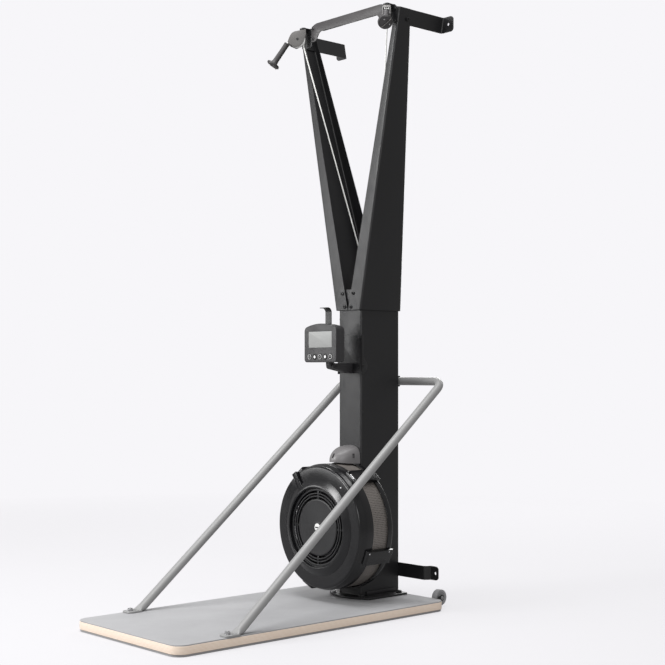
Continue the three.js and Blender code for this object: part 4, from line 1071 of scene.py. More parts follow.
@dataclass
class Studio:
    """Camera, pale floor and soft light, in metres."""

    camera_place: Corner = (3.5883, -2.9350, 0.8801)
    camera_turn: float = 47.89
    focal_pixels: float = 1305.3
    horizon_row: float = 372.0
    sensor: float = 36.0
    backdrop: Corner = (247, 246, 249)
    glow: Corner = (1.0, 0.99, 0.985, 1.0)
    glow_strength: float = 0.34
    floor_radius: float = 9.0
    floor_cover: float = 0.32
    floor_light: Corner = (206, 205, 208)
    floor_dark: Corner = (203, 202, 205)
    aim: Corner = (0.0, 0.2, 1.0)
    lights: tuple[Light, ...] = (
        Light("key", (-1.5, -4.0, 2.6), 1.6, 150),
        Light("left", (-3.7, -3.1, 1.5), 1.8, 55),
        Light("fill", (4.6, -3.2, 2.6), 2.0, 80),
        Light("top", (0.2, -0.4, 4.6), 2.6, 150),
        Light("back", (-2.4, 4.2, 2.6), 2.4, 110),
    )

    def make_camera(self) -> None:
        """Puts the camera where the photograph was taken."""
        data = bpy.data.cameras.new("camera")
        data.sensor_width, data.sensor_fit = self.sensor, "HORIZONTAL"
        data.lens = self.focal_pixels / IMAGE_SIDE * self.sensor
        data.shift_y = (self.horizon_row - IMAGE_SIDE / 2) / IMAGE_SIDE
        camera = bpy.data.objects.new("camera", data)
        camera.location = self.camera_place
        camera.rotation_euler = (math.radians(90), 0, math.radians(self.camera_turn))
        bpy.context.scene.collection.objects.link(camera)
        bpy.context.scene.camera = camera

    def make_world(self) -> None:
        """Fills the surroundings with pale light."""
        world = bpy.data.worlds.new("studio")
        bpy.context.scene.world = world
        world.use_nodes = True
        world.node_tree.nodes.clear()
        graph = Graph(world.node_tree)
        seen = graph.node("ShaderNodeLightPath").outputs["Is Camera Ray"]
        shown = graph.node("ShaderNodeBackground", {0: srgb(*self.backdrop), 1: 1.0})
        cast = graph.node("ShaderNodeBackground", {0: self.glow, 1: self.glow_strength})
        mixed = graph.node("ShaderNodeMixShader", {0: seen, 1: cast.outputs[0], 2: shown.outputs[0]})
        graph.node("ShaderNodeOutputWorld", {"Surface": mixed.outputs[0]})

    def make_floor(self) -> None:
        """Lays a pale floor that fades into the surroundings."""
        floor = Blank()
        bmesh.ops.create_circle(floor.mesh, cap_ends=True, radius=self.floor_radius, segments=64)
        bmesh.ops.recalc_face_normals(floor.mesh, faces=floor.mesh.faces[:])
        surface = bpy.data.materials.new("floor_pale")
        surface.use_nodes = True
        surface.node_tree.nodes.clear()
        graph = Graph(surface.node_tree)
        place = graph.node("ShaderNodeTexCoord").outputs["Object"]
        reach = graph.node("ShaderNodeVectorMath", {0: place}, operation="LENGTH").outputs["Value"]
        solid = graph.ramp(reach, self.floor_radius * 0.2, self.floor_radius * 0.55, self.floor_cover, 0.0)
        tone = graph.blend(graph.noise(place, 3.0, 3.0), srgb(*self.floor_light), srgb(*self.floor_dark))
        wired = {"Base Color": tone, "Alpha": solid, "Roughness": 0.9, "Specular IOR Level": 0.1}
        shader = graph.node("ShaderNodeBsdfPrincipled", wired)
        graph.node("ShaderNodeOutputMaterial", {"Surface": shader.outputs[0]})
        made = floor.shown("floor")
        made.data.materials.append(surface)

    def build(self) -> None:
        """Makes the camera, the surroundings, the floor and the lights."""
        self.make_camera()
        self.make_world()
        self.make_floor()
        for light in self.lights:
            light.hang(self.aim)
        bpy.context.scene.view_settings.view_transform = "Standard"
        log.info("studio: camera, floor and %d lights", len(self.lights))


# Cords and swivels


@dataclass(frozen=True)
class Layout:
    """Places in millimetres that several sub-assemblies share."""

    pivot: Corner = (230.0, 366.0, 2164.0)
    groove: float = 24.0
    lanes: Span = (525.0, 556.0)
    roller_z: float = 1190.0
    wheel_z: float = 310.0
    wall_y: float = 618.0
    bolt: HexBolt = HexBolt(13, 5, 8.6, 1.2)


PLAN = Layout()


@dataclass
class Cords:
    """The two white cords: short leads on the pulleys and long runs to the drums."""

    radius: float = 2.5
    rim: float = 30.0
    clearance: float = 0.3
    handle_seat: float = 34.46
    roller: float = 16.5
    middle_x: float = -22.0
    drum: float = 22.0
    top_bend: float = 12.0
    pitch: float = 7.0
    smooth: float = 60.0

    def drop(self) -> float:
        """How far the lead hangs below the pivot until it has cleared the pulley."""
        return math.sqrt((self.rim + self.radius + self.clearance) ** 2 - PLAN.groove**2)

    def lead_points(self, droop: float) -> list[Vector]:
        """Middle line of a lead in its yoke's frame.

        Args:
            droop: Angle in degrees by which the handle hangs below level.

        Returns:
            The points, from below the pivot over the pulley to the handle.
        """
        fall = math.radians(droop)
        points = [Vector((0, 0, -self.drop() * (1 - i / 3))) for i in range(3)]
        for angle in (i / 24 * (math.pi / 2 + fall) for i in range(25)):
            points.append(Vector((0, PLAN.groove * (math.cos(angle) - 1), PLAN.groove * math.sin(angle))))
        along = Vector((0, -math.cos(fall), -math.sin(fall)))
        start = points[-1]
        points += [start + along * (self.handle_seat - self.clearance) * i / 5 for i in range(1, 6)]
        return points

    def run_points(self, side: Side) -> list[Vector]:
        """Middle line of a long run, from under the pivot to the drum.

        Args:
            side: The handle that it belongs to.

        Returns:
            The points.
        """
        sign, eighths = side.sign, [i / 8 for i in range(1, 9)]
        lane = PLAN.lanes[side is Side.RIGHT]
        px, py, pz = PLAN.pivot
        top = Vector((sign * px, py, pz - self.drop() - self.clearance))
        roller_x = self.middle_x + sign * self.roller
        lean = abs(math.atan2(sign * px - self.middle_x, pz - PLAN.roller_z))
        below = top - UP * 2 * self.radius

        def around(angle: float) -> Vector:
            """Point on the guide roller at an angle above level."""
            x = roller_x - sign * self.roller * math.cos(angle)
            return Vector((x, lane, PLAN.roller_z + self.roller * math.sin(angle)))

        touch = around(lean)
        points = [top, *bend(top, below, touch, self.top_bend, 3)]
        points += [below.lerp(touch, share) for share in eighths]
        points += [around(lean * (1 - i / 3)) for i in range(1, 4)]
        head, foot = points[-1], Vector((self.middle_x, lane, PLAN.wheel_z))
        points += [head.lerp(foot, share) for share in eighths]
        for angle in (share * math.pi / 2 for share in eighths):
            x, z = -self.drum * math.cos(angle), PLAN.wheel_z - self.drum * math.sin(angle)
            points.append(Vector((x, lane, z)))
        return points

    def make(self, name: str, points: list[Vector], up: Vector, body: str) -> None:
        """Makes a cord and says how long it is.

        Args:
            name: The node that it stands for, whose name it takes with an ending.
            points: Its middle line.
            up: A direction that it never runs along.
            body: The body that it rides on.
        """
        cord = lofted(tube_places(points, self.radius, up), 12)
        cord.mapped_run(self.pitch)
        made = cord.piece(f"{name}_braid", Finishes.CORD, body, name, self.smooth)
        length = sum((b - a).length for a, b in zip(points, points[1:])) * MM
        path = [tuple(point * MM) for point in points]
        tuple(path[0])
        log.info("%s: %.3f m long", name, length)

    def build(self, frames: dict[Side, tuple[Matrix, float]]) -> None:
        """Makes the four cords.

        Args:
            frames: Each yoke's place and its handle's droop in degrees.
        """
        for side, (matrix, droop) in frames.items():
            lead = [matrix @ point for point in self.lead_points(droop)]
            across = (matrix.to_3x3() @ ACROSS).normalized()
            self.make(f"lead_cord_{side.value}", lead, across, f"yoke_{side.value}")
            self.make(f"drive_cord_{side.value}", self.run_points(side), REAR, "frame")


@dataclass
class SidedAssembly:
    """A sub-assembly of one side of the machine, drawn for the right side."""

    side: Side

    def put(
        self,
        blank: Blank,
        stem: str,
        finish: Finish,
        replaces: str = "",
        body: str = "",
        mirror: bool = True,
    ) -> None:
        """Turns a blank into this side's piece.

        Args:
            blank: The blank.
            stem: The piece's name without its side.
            finish: What it is covered with.
            replaces: The node that it stands for, without its side, or none.
            body: The body that it moves with, without its side, or none for the frame.
            mirror: Whether the blank is still drawn for the right side.
        """
        side = self.side.value
        if mirror:
            blank.mirrored(self.side)
        rides, node = f"{body}_{side}" if body else "frame", f"{replaces}_{side}" if replaces else ""
        blank.piece(f"{stem}_{side}", finish, rides, node)


@dataclass
class SwivelSide(SidedAssembly):
    """One side's swivel mount, yoke, pulley and handle."""

    yaw: float
    droop: float
    mount_y: Span = (385.1, 388.1)
    mount_shape: Outline = ((-25, -30, 8), (32, -30, 8), (32, 30, 6), (17, 43.5, 5), (-25, 43.5, 6))
    mount_screws: Outline = ((-15, -20), (22, -20), (22, 24))
    ear_half: float = 15.0
    ear_round: float = 14.8
    ear_z: Span = (37.6, 42.6)
    web_x: float = 12.0
    web_low: float = 20.0
    pin: float = 6.0
    pin_z: Span = (31.0, 42.4)
    cheek_in: float = 11.5
    cheek: float = 3.0
    cheek_back: float = 9.0
    cheek_low: float = 17.0
    brow: Outline = ((9.0, 37.0, 3), (0, 36.8, 8), (-36.5, 29.2, 10), (-51, 17.2, 8), (-58.5, -1, 8))
    tip_fall: float = 56.0
    tips: Outline = ((30.04, 1.8), (33.74, -15.4))
    heel: Corner = (-28, -32.5, 2)
    heel_reach: Span = (25.0, 30.5)
    saddle: Outline = ((8.6, 31), (8.6, 36.8), (0, 35.7), (-9, 32.4), (-9, 31))
    guard_reach: Span = (32.0, 30.6)
    guard_pin: Corner = (0, -50.3, -19.6)
    axle: float = 4.0
    pulley_half: Outline = (
        (4.3, -7.5), (9, -7.5, 0.6), (10.5, -4), (18.2, -4),
        (19.6, -7.5, 0.5), (30, -7.5, 1.0), (30, -5.8, 0.5), (21.2, -2.8, 1.2),
    )
    pulley_rib: tuple[Span, Span, Span] = ((-6.4, 6.4), (9.2, 19.4), (-1.1, 1.1))
    axle_screw: Fastener = SocketScrew(4.6, 1.8)
    mount_screw: Fastener = SocketScrew(4.6, 3.2)
    pivot_bolt: Fastener = HexBolt(16, 3)
    handle_gap: float = 34.04
    handle_profile: Outline = (
        (0, 0), (9.6, 0, 1.2), (11.4, 2.0, 1.2), (11.4, 5.4, 0.5), (9.9, 6.0, 0.3), (9.9, 7.4, 0.3),
        (10.9, 8.2, 0.6), (10.4, 14, 12), (10.7, 60, 20), (11.3, 83, 6), (14.4, 91.2, 4), (24.6, 93.2, 1.6),
        (26.5, 96.4, 2.4), (26.3, 100.6, 2.6), (20, 104.4, 2), (19, 103.2, 0.4), (8, 105.2, 2), (0, 105.8),
    )
    handle_slant: float = 42.0
    slots_x: Outline = ((-22, -4), (4, 23))
    slots_y: Span = (-3.8, -0.6)
    slots_z: Span = (101.6, 110.0)
    blade: tuple[Span, Span] = ((-19.5, 24.4), (-5.6, -3.9))
    blade_z: Span = (100.6, 105.9)
    hem: Outline = ((-19.5, -5.4), (-19.5, 0.4, 0.7), (-21.0, 0.4, 0.7), (-21.0, -5.4, 0.7))
    hem_z: Span = (100.6, 105.6)
    end_screw: Fastener = SocketScrew(2.2, 1.3)
    seat_profile: Outline = ((0, -0.25), (4.6, -0.25), (5.2, 1.2, 0.5), (5.2, 3), (0, 3))
    end_screws: Outline = ((-1.6, 11.2, 104.2), (15.4, -6.6, 104.2))

    def matrix(self) -> Matrix:
        """Place of the yoke's own frame.

        Returns:
            The matrix.
        """
        x, y, z = PLAN.pivot
        turn = Matrix.Rotation(math.radians(self.side.sign * self.yaw), 4, "Z")
        return Matrix.Translation((self.side.sign * x, y, z)) @ turn

    def build_mount(self) -> None:
        """Plate on the arm with the ear and bolt that hold the yoke."""
        x, y, z = PLAN.pivot
        front, back = self.mount_y
        half, rear, low, high = self.ear_half, back - 0.5, z + self.ear_z[0], z + self.ear_z[1]
        shape = [(x + corner[0], z + corner[1], corner[2]) for corner in self.mount_shape]
        body = plate(shape, Axis.Y, front, back, 0.7)
        tongue = [(x - half, y - half, self.ear_round), (x + half, y - half, self.ear_round)]
        body.add(plate([*tongue, (x + half, rear), (x - half, rear)], Axis.Z, low, high, 0.8, corner_steps=9))
        for middle in (x - self.web_x, x + self.web_x):
            web = [(front, low + 0.2), (front, z + self.web_low), (y + self.web_x, low + 0.2, 3)]
            body.add(plate(web, Axis.X, middle - 1.5, middle + 1.5, 0.4))
        self.put(body, "swivel_ear", Finishes.BLACK, "swivel_mount")
        bolts = self.pivot_bolt.at(UP, (x, y, high))
        bolts.add(rod(Axis.Z, self.pin, z + self.pin_z[0], z + self.pin_z[1], (x, y, 0)))
        spots = [(x + right, front, z + rise) for right, rise in self.mount_screws]
        bolts.add(self.mount_screw.at(FRONT, *spots))
        self.put(bolts, "swivel_bolts", Finishes.BLACK)

    def tip(self, along: float, across: float) -> Corner:
        """Corner of a cheek's tip.

        Args:
            along: How far it lies along the left handle's line.
            across: How far it lies above that line.

        Returns:
            The corner in the yoke's own frame.
        """
        fall = math.radians(self.tip_fall)
        run, rise = Vector((-math.cos(fall), -math.sin(fall))), Vector((-math.sin(fall), math.cos(fall)))
        spot = Vector((-PLAN.groove, 0)) + rise * (PLAN.groove + across) + run * along
        return spot.x, spot.y, 1.2

    def cheek_shape(self) -> list[Corner]:
        """Outline of a yoke cheek.

        Returns:
            Its corners in the yoke's own frame, top first.
        """
        arc = []
        for i in range(13):
            turn = math.radians(270 + 6 * i)
            reach = self.heel_reach[0] + (self.heel_reach[1] - self.heel_reach[0]) * max(0.0, 1 - i / 6)
            arc.append((-PLAN.groove + reach * math.cos(turn), reach * math.sin(turn)))
        tips = [self.tip(*place) for place in self.tips]
        return [*self.brow, *tips, self.heel, *arc, (self.cheek_back, self.cheek_low, 3)]

    def build_yoke(self) -> None:
        """Two cheeks joined over the pulley by a bridge that swings on the pivot bolt."""
        inner, outer, groove = self.cheek_in, self.cheek_in + self.cheek, PLAN.groove
        body = Blank()
        for near, far in ((-outer, -inner), (inner, outer)):
            body.add(plate(self.cheek_shape(), Axis.X, near, far, 0.7, corner_steps=4))
        bridge = plate(self.saddle, Axis.X, 0.2 - outer, outer - 0.2, 0.5)
        body.add(bridge.cut(rod(Axis.Z, self.pin + 0.3, 0, 60)))
        turns = [math.radians(72 + 6 * i) for i in range(13)]
        guard = []
        for reach, order in zip(self.guard_reach, (turns, turns[::-1])):
            guard += [(reach * math.cos(turn) - groove, reach * math.sin(turn)) for turn in order]
        body.add(plate(guard, Axis.X, -inner - 0.3, inner + 0.3, 0.2))
        body.add(rod(Axis.X, 2.0, -outer - 0.4, outer + 0.4, self.guard_pin, 16, 0.3))
        self.put(body.place(self.matrix()), "yoke_fork", Finishes.YOKE, "yoke", "yoke", False)
        axle = rod(Axis.X, self.axle, -outer - 1, outer + 1, (0, -groove, 0))
        for sign in (-1, 1):
            axle.add(self.axle_screw.at(ACROSS * sign, (sign * outer, -groove, 0)))
        self.put(axle.place(self.matrix()), "yoke_axle", Finishes.BLACK, "", "yoke", False)

    def build_pulley(self) -> None:
        """Grooved pulley with a dished web."""
        centre = (0, -PLAN.groove, 0)
        wheel = turned(doubled(self.pulley_half, (1, -1)), Axis.X, centre, 56)
        for angle in range(0, 360, 60):
            spin = Matrix.Rotation(math.radians(angle), 4, "X")
            wheel.add(block(*self.pulley_rib, 0.3).place(Matrix.Translation(centre) @ spin))
        self.put(wheel.place(self.matrix()), "pulley_wheel", Finishes.NYLON, "pulley", "pulley", False)

    def handle_matrix(self) -> Matrix:
        """Place of the handle's own frame, whose depth runs away from the pulley.

        Returns:
            The matrix.
        """
        fall = math.radians(self.droop)
        along = Vector((0, -math.cos(fall), -math.sin(fall)))
        normal = Vector((0, -math.sin(fall), math.cos(fall)))
        start = FRONT * PLAN.groove + normal * PLAN.groove + along * self.handle_gap
        turn = Matrix((ACROSS, along.cross(ACROSS), along)).transposed()
        return self.matrix() @ Matrix.Translation(start) @ turn.to_4x4()

    def build_handle(self) -> None:
        """Rubber handle with a collar, a smooth slim grip and a domed end, whose seam ridge is pale grey as
        painted highlight.
        """
        place = self.handle_matrix()
        slant = Matrix.Rotation(math.radians(self.handle_slant), 4, "Z")
        grip = turned(self.handle_profile, Axis.Z)
        slots = (plate(oblong(x, self.slots_y), Axis.Z, *self.slots_z, 0) for x in self.slots_x)
        grip.cut(*(slot.place(slant) for slot in slots))
        self.put(grip.place(place), "handle_grip", Finishes.GRIP, "handle", "handle", False)
        # The ridge across the handle's end is a mould seam, given a pale grey as painted highlight.
        edge = plate(oblong(*self.blade, 0.7), Axis.Z, *self.blade_z, 0.5)
        edge.add(plate(self.hem, Axis.Z, *self.hem_z, 0.4))
        self.put(edge.place(place @ slant), "handle_seam_highlight", Finishes.SEAM_HIGHLIGHT, "", "handle", False)
        metal = turned(self.seat_profile, Axis.Z, steps=24)
        metal.add(self.end_screw.at(UP, *self.end_screws))
        self.put(metal.place(place), "handle_metal", Finishes.ZINC, "", "handle", False)

    def build(self) -> None:
        """Makes every piece of this side."""
        self.build_mount()
        self.build_yoke()
        self.build_pulley()
        self.build_handle()


# Stand


@dataclass
class FloorStand:
    """Underlay, birch board and foam mat, with the bolts through them."""

    half_width: float = 300.0
    half_length: float = 605.0
    corner: float = 45.0
    board_z: Span = (8.0, 34.0)
    mat_high: float = 38.0
    gap: float = 0.3
    hole: float = 5.3
    foot_bolts: Outline = ((279.0, -395.0), (-279.0, -395.0))
    base_bolts: Outline = ((76.0, 384.5), (-76.0, 384.5), (94.0, 563.2), (-94.0, 563.2))
    foot_seat: float = 44.6
    base_seat: float = 46.3
    bolt: HexBolt = HexBolt(17, 6.5, 11, 2)

    def slab(self, inset: float, low: float, high: float, edge: float, drilled: bool = True) -> Blank:
        """A slab with the stand's outline.

        Args:
            inset: How far it lies inside the board's outline.
            low: Its lower face.
            high: Its upper face.
            edge: How far its edges are rounded.
            drilled: Whether it has the bolt holes.

        Returns:
            The blank.
        """
        x, y = self.half_width - inset, self.half_length - inset
        made = plate(oblong((-x, x), (-y, y), self.corner - inset), Axis.Z, low, high, edge, 3, 12)
        if drilled:
            places = (*self.foot_bolts, *self.base_bolts)
            made.cut(*(rod(Axis.Z, self.hole, low - 5, high + 5, (*place, 0), 24, 0) for place in places))
        return made

    def build_slabs(self) -> None:
        """The underlay, the board with its face veneers and the mat."""
        low, high = self.board_z
        underlay = self.slab(3, 0, low - self.gap, 1.2, False)
        underlay.piece("underlay_sheet", Finishes.UNDERLAY, replaces="floor_underlay")
        self.slab(0, low, high, 1.2).piece("board_core", Finishes.BIRCH, replaces="platform_board")
        mat = self.slab(1, high + self.gap, self.mat_high, 1.4)
        mat.piece("mat_sheet", Finishes.MAT, replaces="platform_mat")

    def build_bolts(self) -> None:
        """Bolts that hold the rail's feet and the base plate, three of the base bolts black as painted shade.
        """
        right, left = self.foot_bolts
        for name, place in (("left", left), ("right", right)):
            bolt = self.bolt.at(UP, (*place, self.foot_seat))
            bolt.add(rod(Axis.Z, 5, self.board_z[0] + self.gap, self.foot_seat, (*place, 0)))
            bolt.piece(f"foot_bolt_{name}", Finishes.ZINC, replaces=f"rail_bolt_{name}")
        # The four base bolts are the same zinc bolt: the left front one stays zinc, the other three are black
        # as painted shade.
        first, near, *rest = ((*place, self.base_seat) for place in self.base_bolts)
        self.bolt.at(UP, near).piece("base_bolt_bright", Finishes.ZINC)
        self.bolt.at(UP, first, *rest).piece("base_bolts_painted_shade", Finishes.BLACK)

    def build(self) -> None:
        """Makes every piece of the stand."""
        self.build_slabs()
        self.build_bolts()


@dataclass
class Rail:
    """The bent tube that runs from the stand's front up to the column."""

    radius: float = 15.5
    foot: Corner = (279.0, -343.0, 51.5)
    top: Corner = (268.0, 620.7, 845.0)
    bend_radius: float = 45.0
    pad: Corner = (46.0, 62.0, 11.5)
    pad_y: float = -384.5
    pad_z: Span = (38.3, 44.3)
    rib_half: float = 17.0
    neck_y: float = -373.0
    flat_shares: Corner = (0.0, 0.15, 0.32, 0.5, 0.68, 0.84)
    clamp: tuple[Span, Span, Span] = ((-22, 22), (591.5, 641.7), (824, 866))
    clamp_bore: float = 15.8
    clamp_lips: Span = (831, 859)
    lip: tuple[Span, Span] = ((-22.3, 22.3), (596, 638))
    lip_half: float = 1.2
    clamp_screw: Fastener = SocketScrew(4.2, 3)
    clamp_screws: Outline = ((-13, 830), (-13, 860), (13, 830), (13, 860))

    def flat_end(self, foot: Vector, slope: Vector, way: int) -> list[Matrix]:
        """Rings where the tube flattens towards its pad.

        Args:
            foot: Where the round tube starts.
            slope: The way the tube rises from there.
            way: One to run towards the tube and minus one to run away from it.

        Returns:
            The places of the rings, from the pad inwards.
        """
        low, high = self.pad_z
        thick, half = (high - low) / 2, self.pad[0] / 2
        pad_end = Vector((foot.x, self.neck_y, (low + high) / 2))
        made = []
        for share in self.flat_shares:
            soft = share * share * (3 - 2 * share)
            along = REAR.lerp(slope, soft).normalized() * way
            wide, tall = half + (self.radius - half) * soft, thick + (self.radius - thick) * soft
            made.append(ring_place(pad_end.lerp(foot, share), along, ACROSS * way, wide, tall))
        return made

    def tube(self) -> Blank:
        """The tube with its two bends and its flattened ends.

        Returns:
            The blank.
        """
        flip = Vector((-1, 1, 1))
        foot, head = Vector(self.foot), Vector(self.top)
        far_head, far_foot = head * flip, foot * flip
        line = [foot, *bend(foot, head, far_head, self.bend_radius, 12)]
        line += [*bend(head, far_head, far_foot, self.bend_radius, 12), far_foot]
        normal = (head - foot).cross(far_head - head).normalized()
        places = zip(line, courses(line))
        body = [ring_place(point, way, normal.cross(way), self.radius, self.radius) for point, way in places]
        first = self.flat_end(foot, (head - foot).normalized(), 1)
        last = self.flat_end(far_foot, (far_head - far_foot).normalized(), -1)
        return lofted([*first, *body, *reversed(last)])

    def build(self) -> None:
        """Makes the tube, its foot pads and the clamp on the column."""
        body = self.tube()
        wide, long, corner = self.pad
        near, far = self.pad_y - long / 2, self.pad_y + long / 2
        low, high = self.pad_z
        for x in (-self.foot[0], self.foot[0]):
            pad = oblong((x - wide / 2, x + wide / 2), (near, far), corner)
            body.add(plate(pad, Axis.Z, low, high, 1.2, 3, 8))
            rib = oblong((x - self.rib_half, x + self.rib_half), (self.pad_y + 6, far + 8), 6)
            body.add(plate(rib, Axis.Z, high - 1, high + 2.2, 1.4, 3, 6))
        body.piece("rail_tube", Finishes.RAIL, replaces="support_rail", smooth=40)
        clamp = block(*self.clamp, 2.5, 3).cut(rod(Axis.X, self.clamp_bore, -30, 30, self.top, 40, 0))
        for z in self.clamp_lips:
            clamp.add(block(*self.lip, (z - self.lip_half, z + self.lip_half), 0.4))
        clamp.piece("clamp_block", Finishes.BLACK, replaces="rail_clamp")
        rear = self.clamp[1][1]
        screws = self.clamp_screw.at(REAR, *((x, rear, z) for x, z in self.clamp_screws))
        screws.piece("clamp_screws", Finishes.ZINC)


@dataclass
class TransportWheel(SidedAssembly):
    """One small wheel behind the board with its bracket."""

    centre: Corner = (228.0, 640.8, 36.0)
    tyre_half: Outline = (
        (5.3, -10.6, 0.6), (9.5, -10.6, 1), (9.5, -6.2), (19, -7), (21, -10, 1), (24, -10), (30.0, -11, 2.6),
    )
    spoke: tuple[Span, Span, Span] = ((-8, 8), (9, 20), (-1.6, 1.6))
    fork: float = 14.6
    sheet: float = 3.0
    foot_y: float = 605.3
    foot_z: Span = (8.3, 32.3)
    nose: float = 12.0
    axle: float = 4.9
    axle_half: float = 15.0
    axle_head: Fastener = HexBolt(12, 2.6)
    screws_z: Span = (15.0, 26.0)
    screw: Fastener = SocketScrew(3.6, 2)

    def ear(self) -> list[Corner]:
        """Outline of one of the fork's ears, with its round end.

        Returns:
            The corners in the side view.
        """
        (_, y, z), (low, high), reach = self.centre, self.foot_z, self.nose
        angles = [math.radians(16 * i - 80) for i in range(11)]
        nose = [(y + reach * math.cos(a), z + reach * math.sin(a)) for a in angles]
        return [(self.foot_y, low, 1), (y, z - reach), *nose, (y, z + reach), (self.foot_y, high, 1)]

    def build(self) -> None:
        """Makes the wheel, its bracket and its axle bolt."""
        (x, y, z), fork, front = self.centre, self.fork, self.foot_y
        tyre = turned(doubled(self.tyre_half, (1, -1)), Axis.X, self.centre, 56)
        for angle in range(0, 360, 72):
            spin = Matrix.Rotation(math.radians(angle), 4, "X")
            tyre.add(block(*self.spoke, 0.5).place(Matrix.Translation(self.centre) @ spin))
        self.put(tyre, "castor", Finishes.WHEEL, "transport_wheel", "wheel")
        body = block((x - fork, x + fork), (front, front + self.sheet), self.foot_z)
        for low in (x - fork, x + fork - self.sheet):
            body.add(plate(self.ear(), Axis.X, low, low + self.sheet, 0.6))
        self.put(body, "castor_fork", Finishes.BLACK, "wheel_bracket")
        axle = rod(Axis.X, self.axle, x - self.axle_half, x + self.axle_half, self.centre)
        for sign in (-1, 1):
            axle.add(self.axle_head.at(ACROSS * sign, (x + sign * fork, y, z)))
        axle.add(self.screw.at(REAR, *((x, front + self.sheet, height) for height in self.screws_z)))
        self.put(axle, "castor_axle", Finishes.ZINC)


# Column, arms and brackets


@dataclass
class Column:
    """Base plate, bent column sheet and back panel."""

    half: float = 62.0
    front: float = 396.5
    back: float = 591.2
    low: float = 46.6
    high: float = 1132.0
    sheet: float = 3.0
    fold: float = 9.0
    base_half: float = 112.0
    base_bow: float = 84.0
    base_z: Span = (38.3, 46.3)
    curb_x: float = 66.0
    curb_half: float = 1.5
    curb: tuple[Span, Span] = ((420, 570), (46.0, 62.0))
    bore: float = 24.3
    rivets_y: Span = (404.0, 579.0)
    rivets_z: Corner = (1080.0, 733.0, 431.0, 96.0)
    panel_half: float = 58.7
    panel_fold: float = 4.0
    flange: float = 30.0
    rib_x: float = 30.0
    rib_half: float = 7.0
    ribs_z: Outline = ((180.0, 800.0), (890.0, 1110.0))

    def build_base(self) -> None:
        """Base plate with its bowed front edge."""
        edge, front = self.base_half, self.front
        bow = []
        for share in (i / 20 for i in range(1, 20)):
            x = -edge * (1 - share) ** 2 + edge * share**2
            bow.append((x, front - 2 * self.base_bow * share * (1 - share)))
        shape = [(edge, self.back, 6), (-edge, self.back, 6), (-edge, front), *bow, (edge, front)]
        body = plate(shape, Axis.Z, *self.base_z, 1.2, 3)
        for x in (-self.curb_x, self.curb_x):
            body.add(block((x - self.curb_half, x + self.curb_half), *self.curb))
        body.piece("base_sheet", Finishes.BLACK, replaces="base_plate")

    def build_shell(self) -> None:
        """Column sheet with its folded sides, hole and rivets."""
        x, front, back = self.half, self.front, self.back
        corners = [(-x, back), (-x, front), (x, front), (x, back)]
        body = bent(corners, self.low, self.high, self.fold, self.sheet, 6)
        body.cut(rod(Axis.Y, self.bore, front - 10, front + 10, (0, 0, PLAN.wheel_z), 40, 0))
        body.piece("column_sheet", Finishes.BLACK, replaces="column_shell")
        rivets = Blank()
        for sign in (-1, 1):
            spots = [(sign * x, y, z) for y in self.rivets_y for z in self.rivets_z]
            rivets.add(Rivet().at(ACROSS * sign, *spots))
        rivets.piece("column_rivets", Finishes.BLACK)

    def build_panel(self) -> None:
        """Back panel with folded flanges and pressed ribs."""
        x, rear, front = self.panel_half, self.back, self.back - self.flange
        corners = [(-x, front), (-x, rear), (x, rear), (x, front)]
        body = bent(corners, self.low, self.high, self.panel_fold, self.sheet, 4)
        for middle in (-self.rib_x, self.rib_x):
            for span in self.ribs_z:
                rib = oblong((middle - self.rib_half, middle + self.rib_half), span, self.rib_half)
                body.add(plate(rib, Axis.Y, rear - 0.4, rear + 1.0, 0.9, 3, 6))
        body.piece("column_panel", Finishes.BLACK, replaces="column_back")

    def build(self) -> None:
        """Makes every piece of the column."""
        self.build_base()
        self.build_shell()
        self.build_panel()


@dataclass
class Arm(SidedAssembly):
    """One of the two leaning sheet arms of the fork."""

    seam: Corner = (1112.0, 66.0, 1.0)
    top_z: Span = (2194.0, 2198.0)
    lean: Span = (0.189464, 0.230129)
    front: float = 388.4
    rear: Corner = (1132.0, 594.5, 0.141337)
    sheet: float = 3.0
    fold: float = 7.0
    hole: float = 4.3
    holes: Outline = ((17, 1124), (30, 1174))
    rivets_z: Corner = (1150.0, 1500.0, 1850.0, 2130.0)
    rivets_in: Span = (15.0, 14.0)

    def outer_x(self, z: float) -> float:
        """Outer face of the arm at a height."""
        return self.seam[1] + self.lean[0] * (z - self.seam[0])

    def inner_x(self, z: float) -> float:
        """Inner edge of the arm at a height."""
        return self.seam[2] + self.lean[1] * (z - self.seam[0])

    def rear_y(self, z: float) -> float:
        """Rear face of the arm at a height."""
        return self.rear[1] - self.rear[2] * (z - self.rear[0])

    def outward(self) -> Vector:
        """The way that the arm's outer face looks."""
        return Vector((1, 0, -self.lean[0])).normalized()

    def section(self, z: float, inner_z: float) -> list[Vector]:
        """Corners of the sheet at one end.

        Args:
            z: Height of the outer corners.
            inner_z: Height of the inner edges.

        Returns:
            The corners from the front flange's edge to the rear flange's edge.
        """
        return [
            Vector((self.inner_x(inner_z), self.front, inner_z)),
            Vector((self.outer_x(z), self.front, z)),
            Vector((self.outer_x(z), self.rear_y(z), z)),
            Vector((self.inner_x(inner_z), self.rear_y(inner_z), inner_z)),
        ]

    def build(self) -> None:
        """Makes the bent sheet with its holes and rivets."""
        foot = self.section(self.seam[0], self.seam[0])
        body = folded(foot, self.section(*self.top_z), self.fold, -self.sheet, 6, 0.6)
        near, far = self.front - 9, self.front + 9
        drills = (rod(Axis.Y, self.hole, near, far, (x, 0, z), 20, 0) for x, z in self.holes)
        self.put(body.cut(*drills), "arm_sheet", Finishes.BLACK, "arm")
        rivets = Blank()
        for z in self.rivets_z:
            rows = self.front + self.rivets_in[0], self.rear_y(z) - self.rivets_in[1]
            rivets.add(Rivet().at(self.outward(), *((self.outer_x(z), y, z) for y in rows)))
        self.put(rivets, "arm_rivets", Finishes.BLACK)


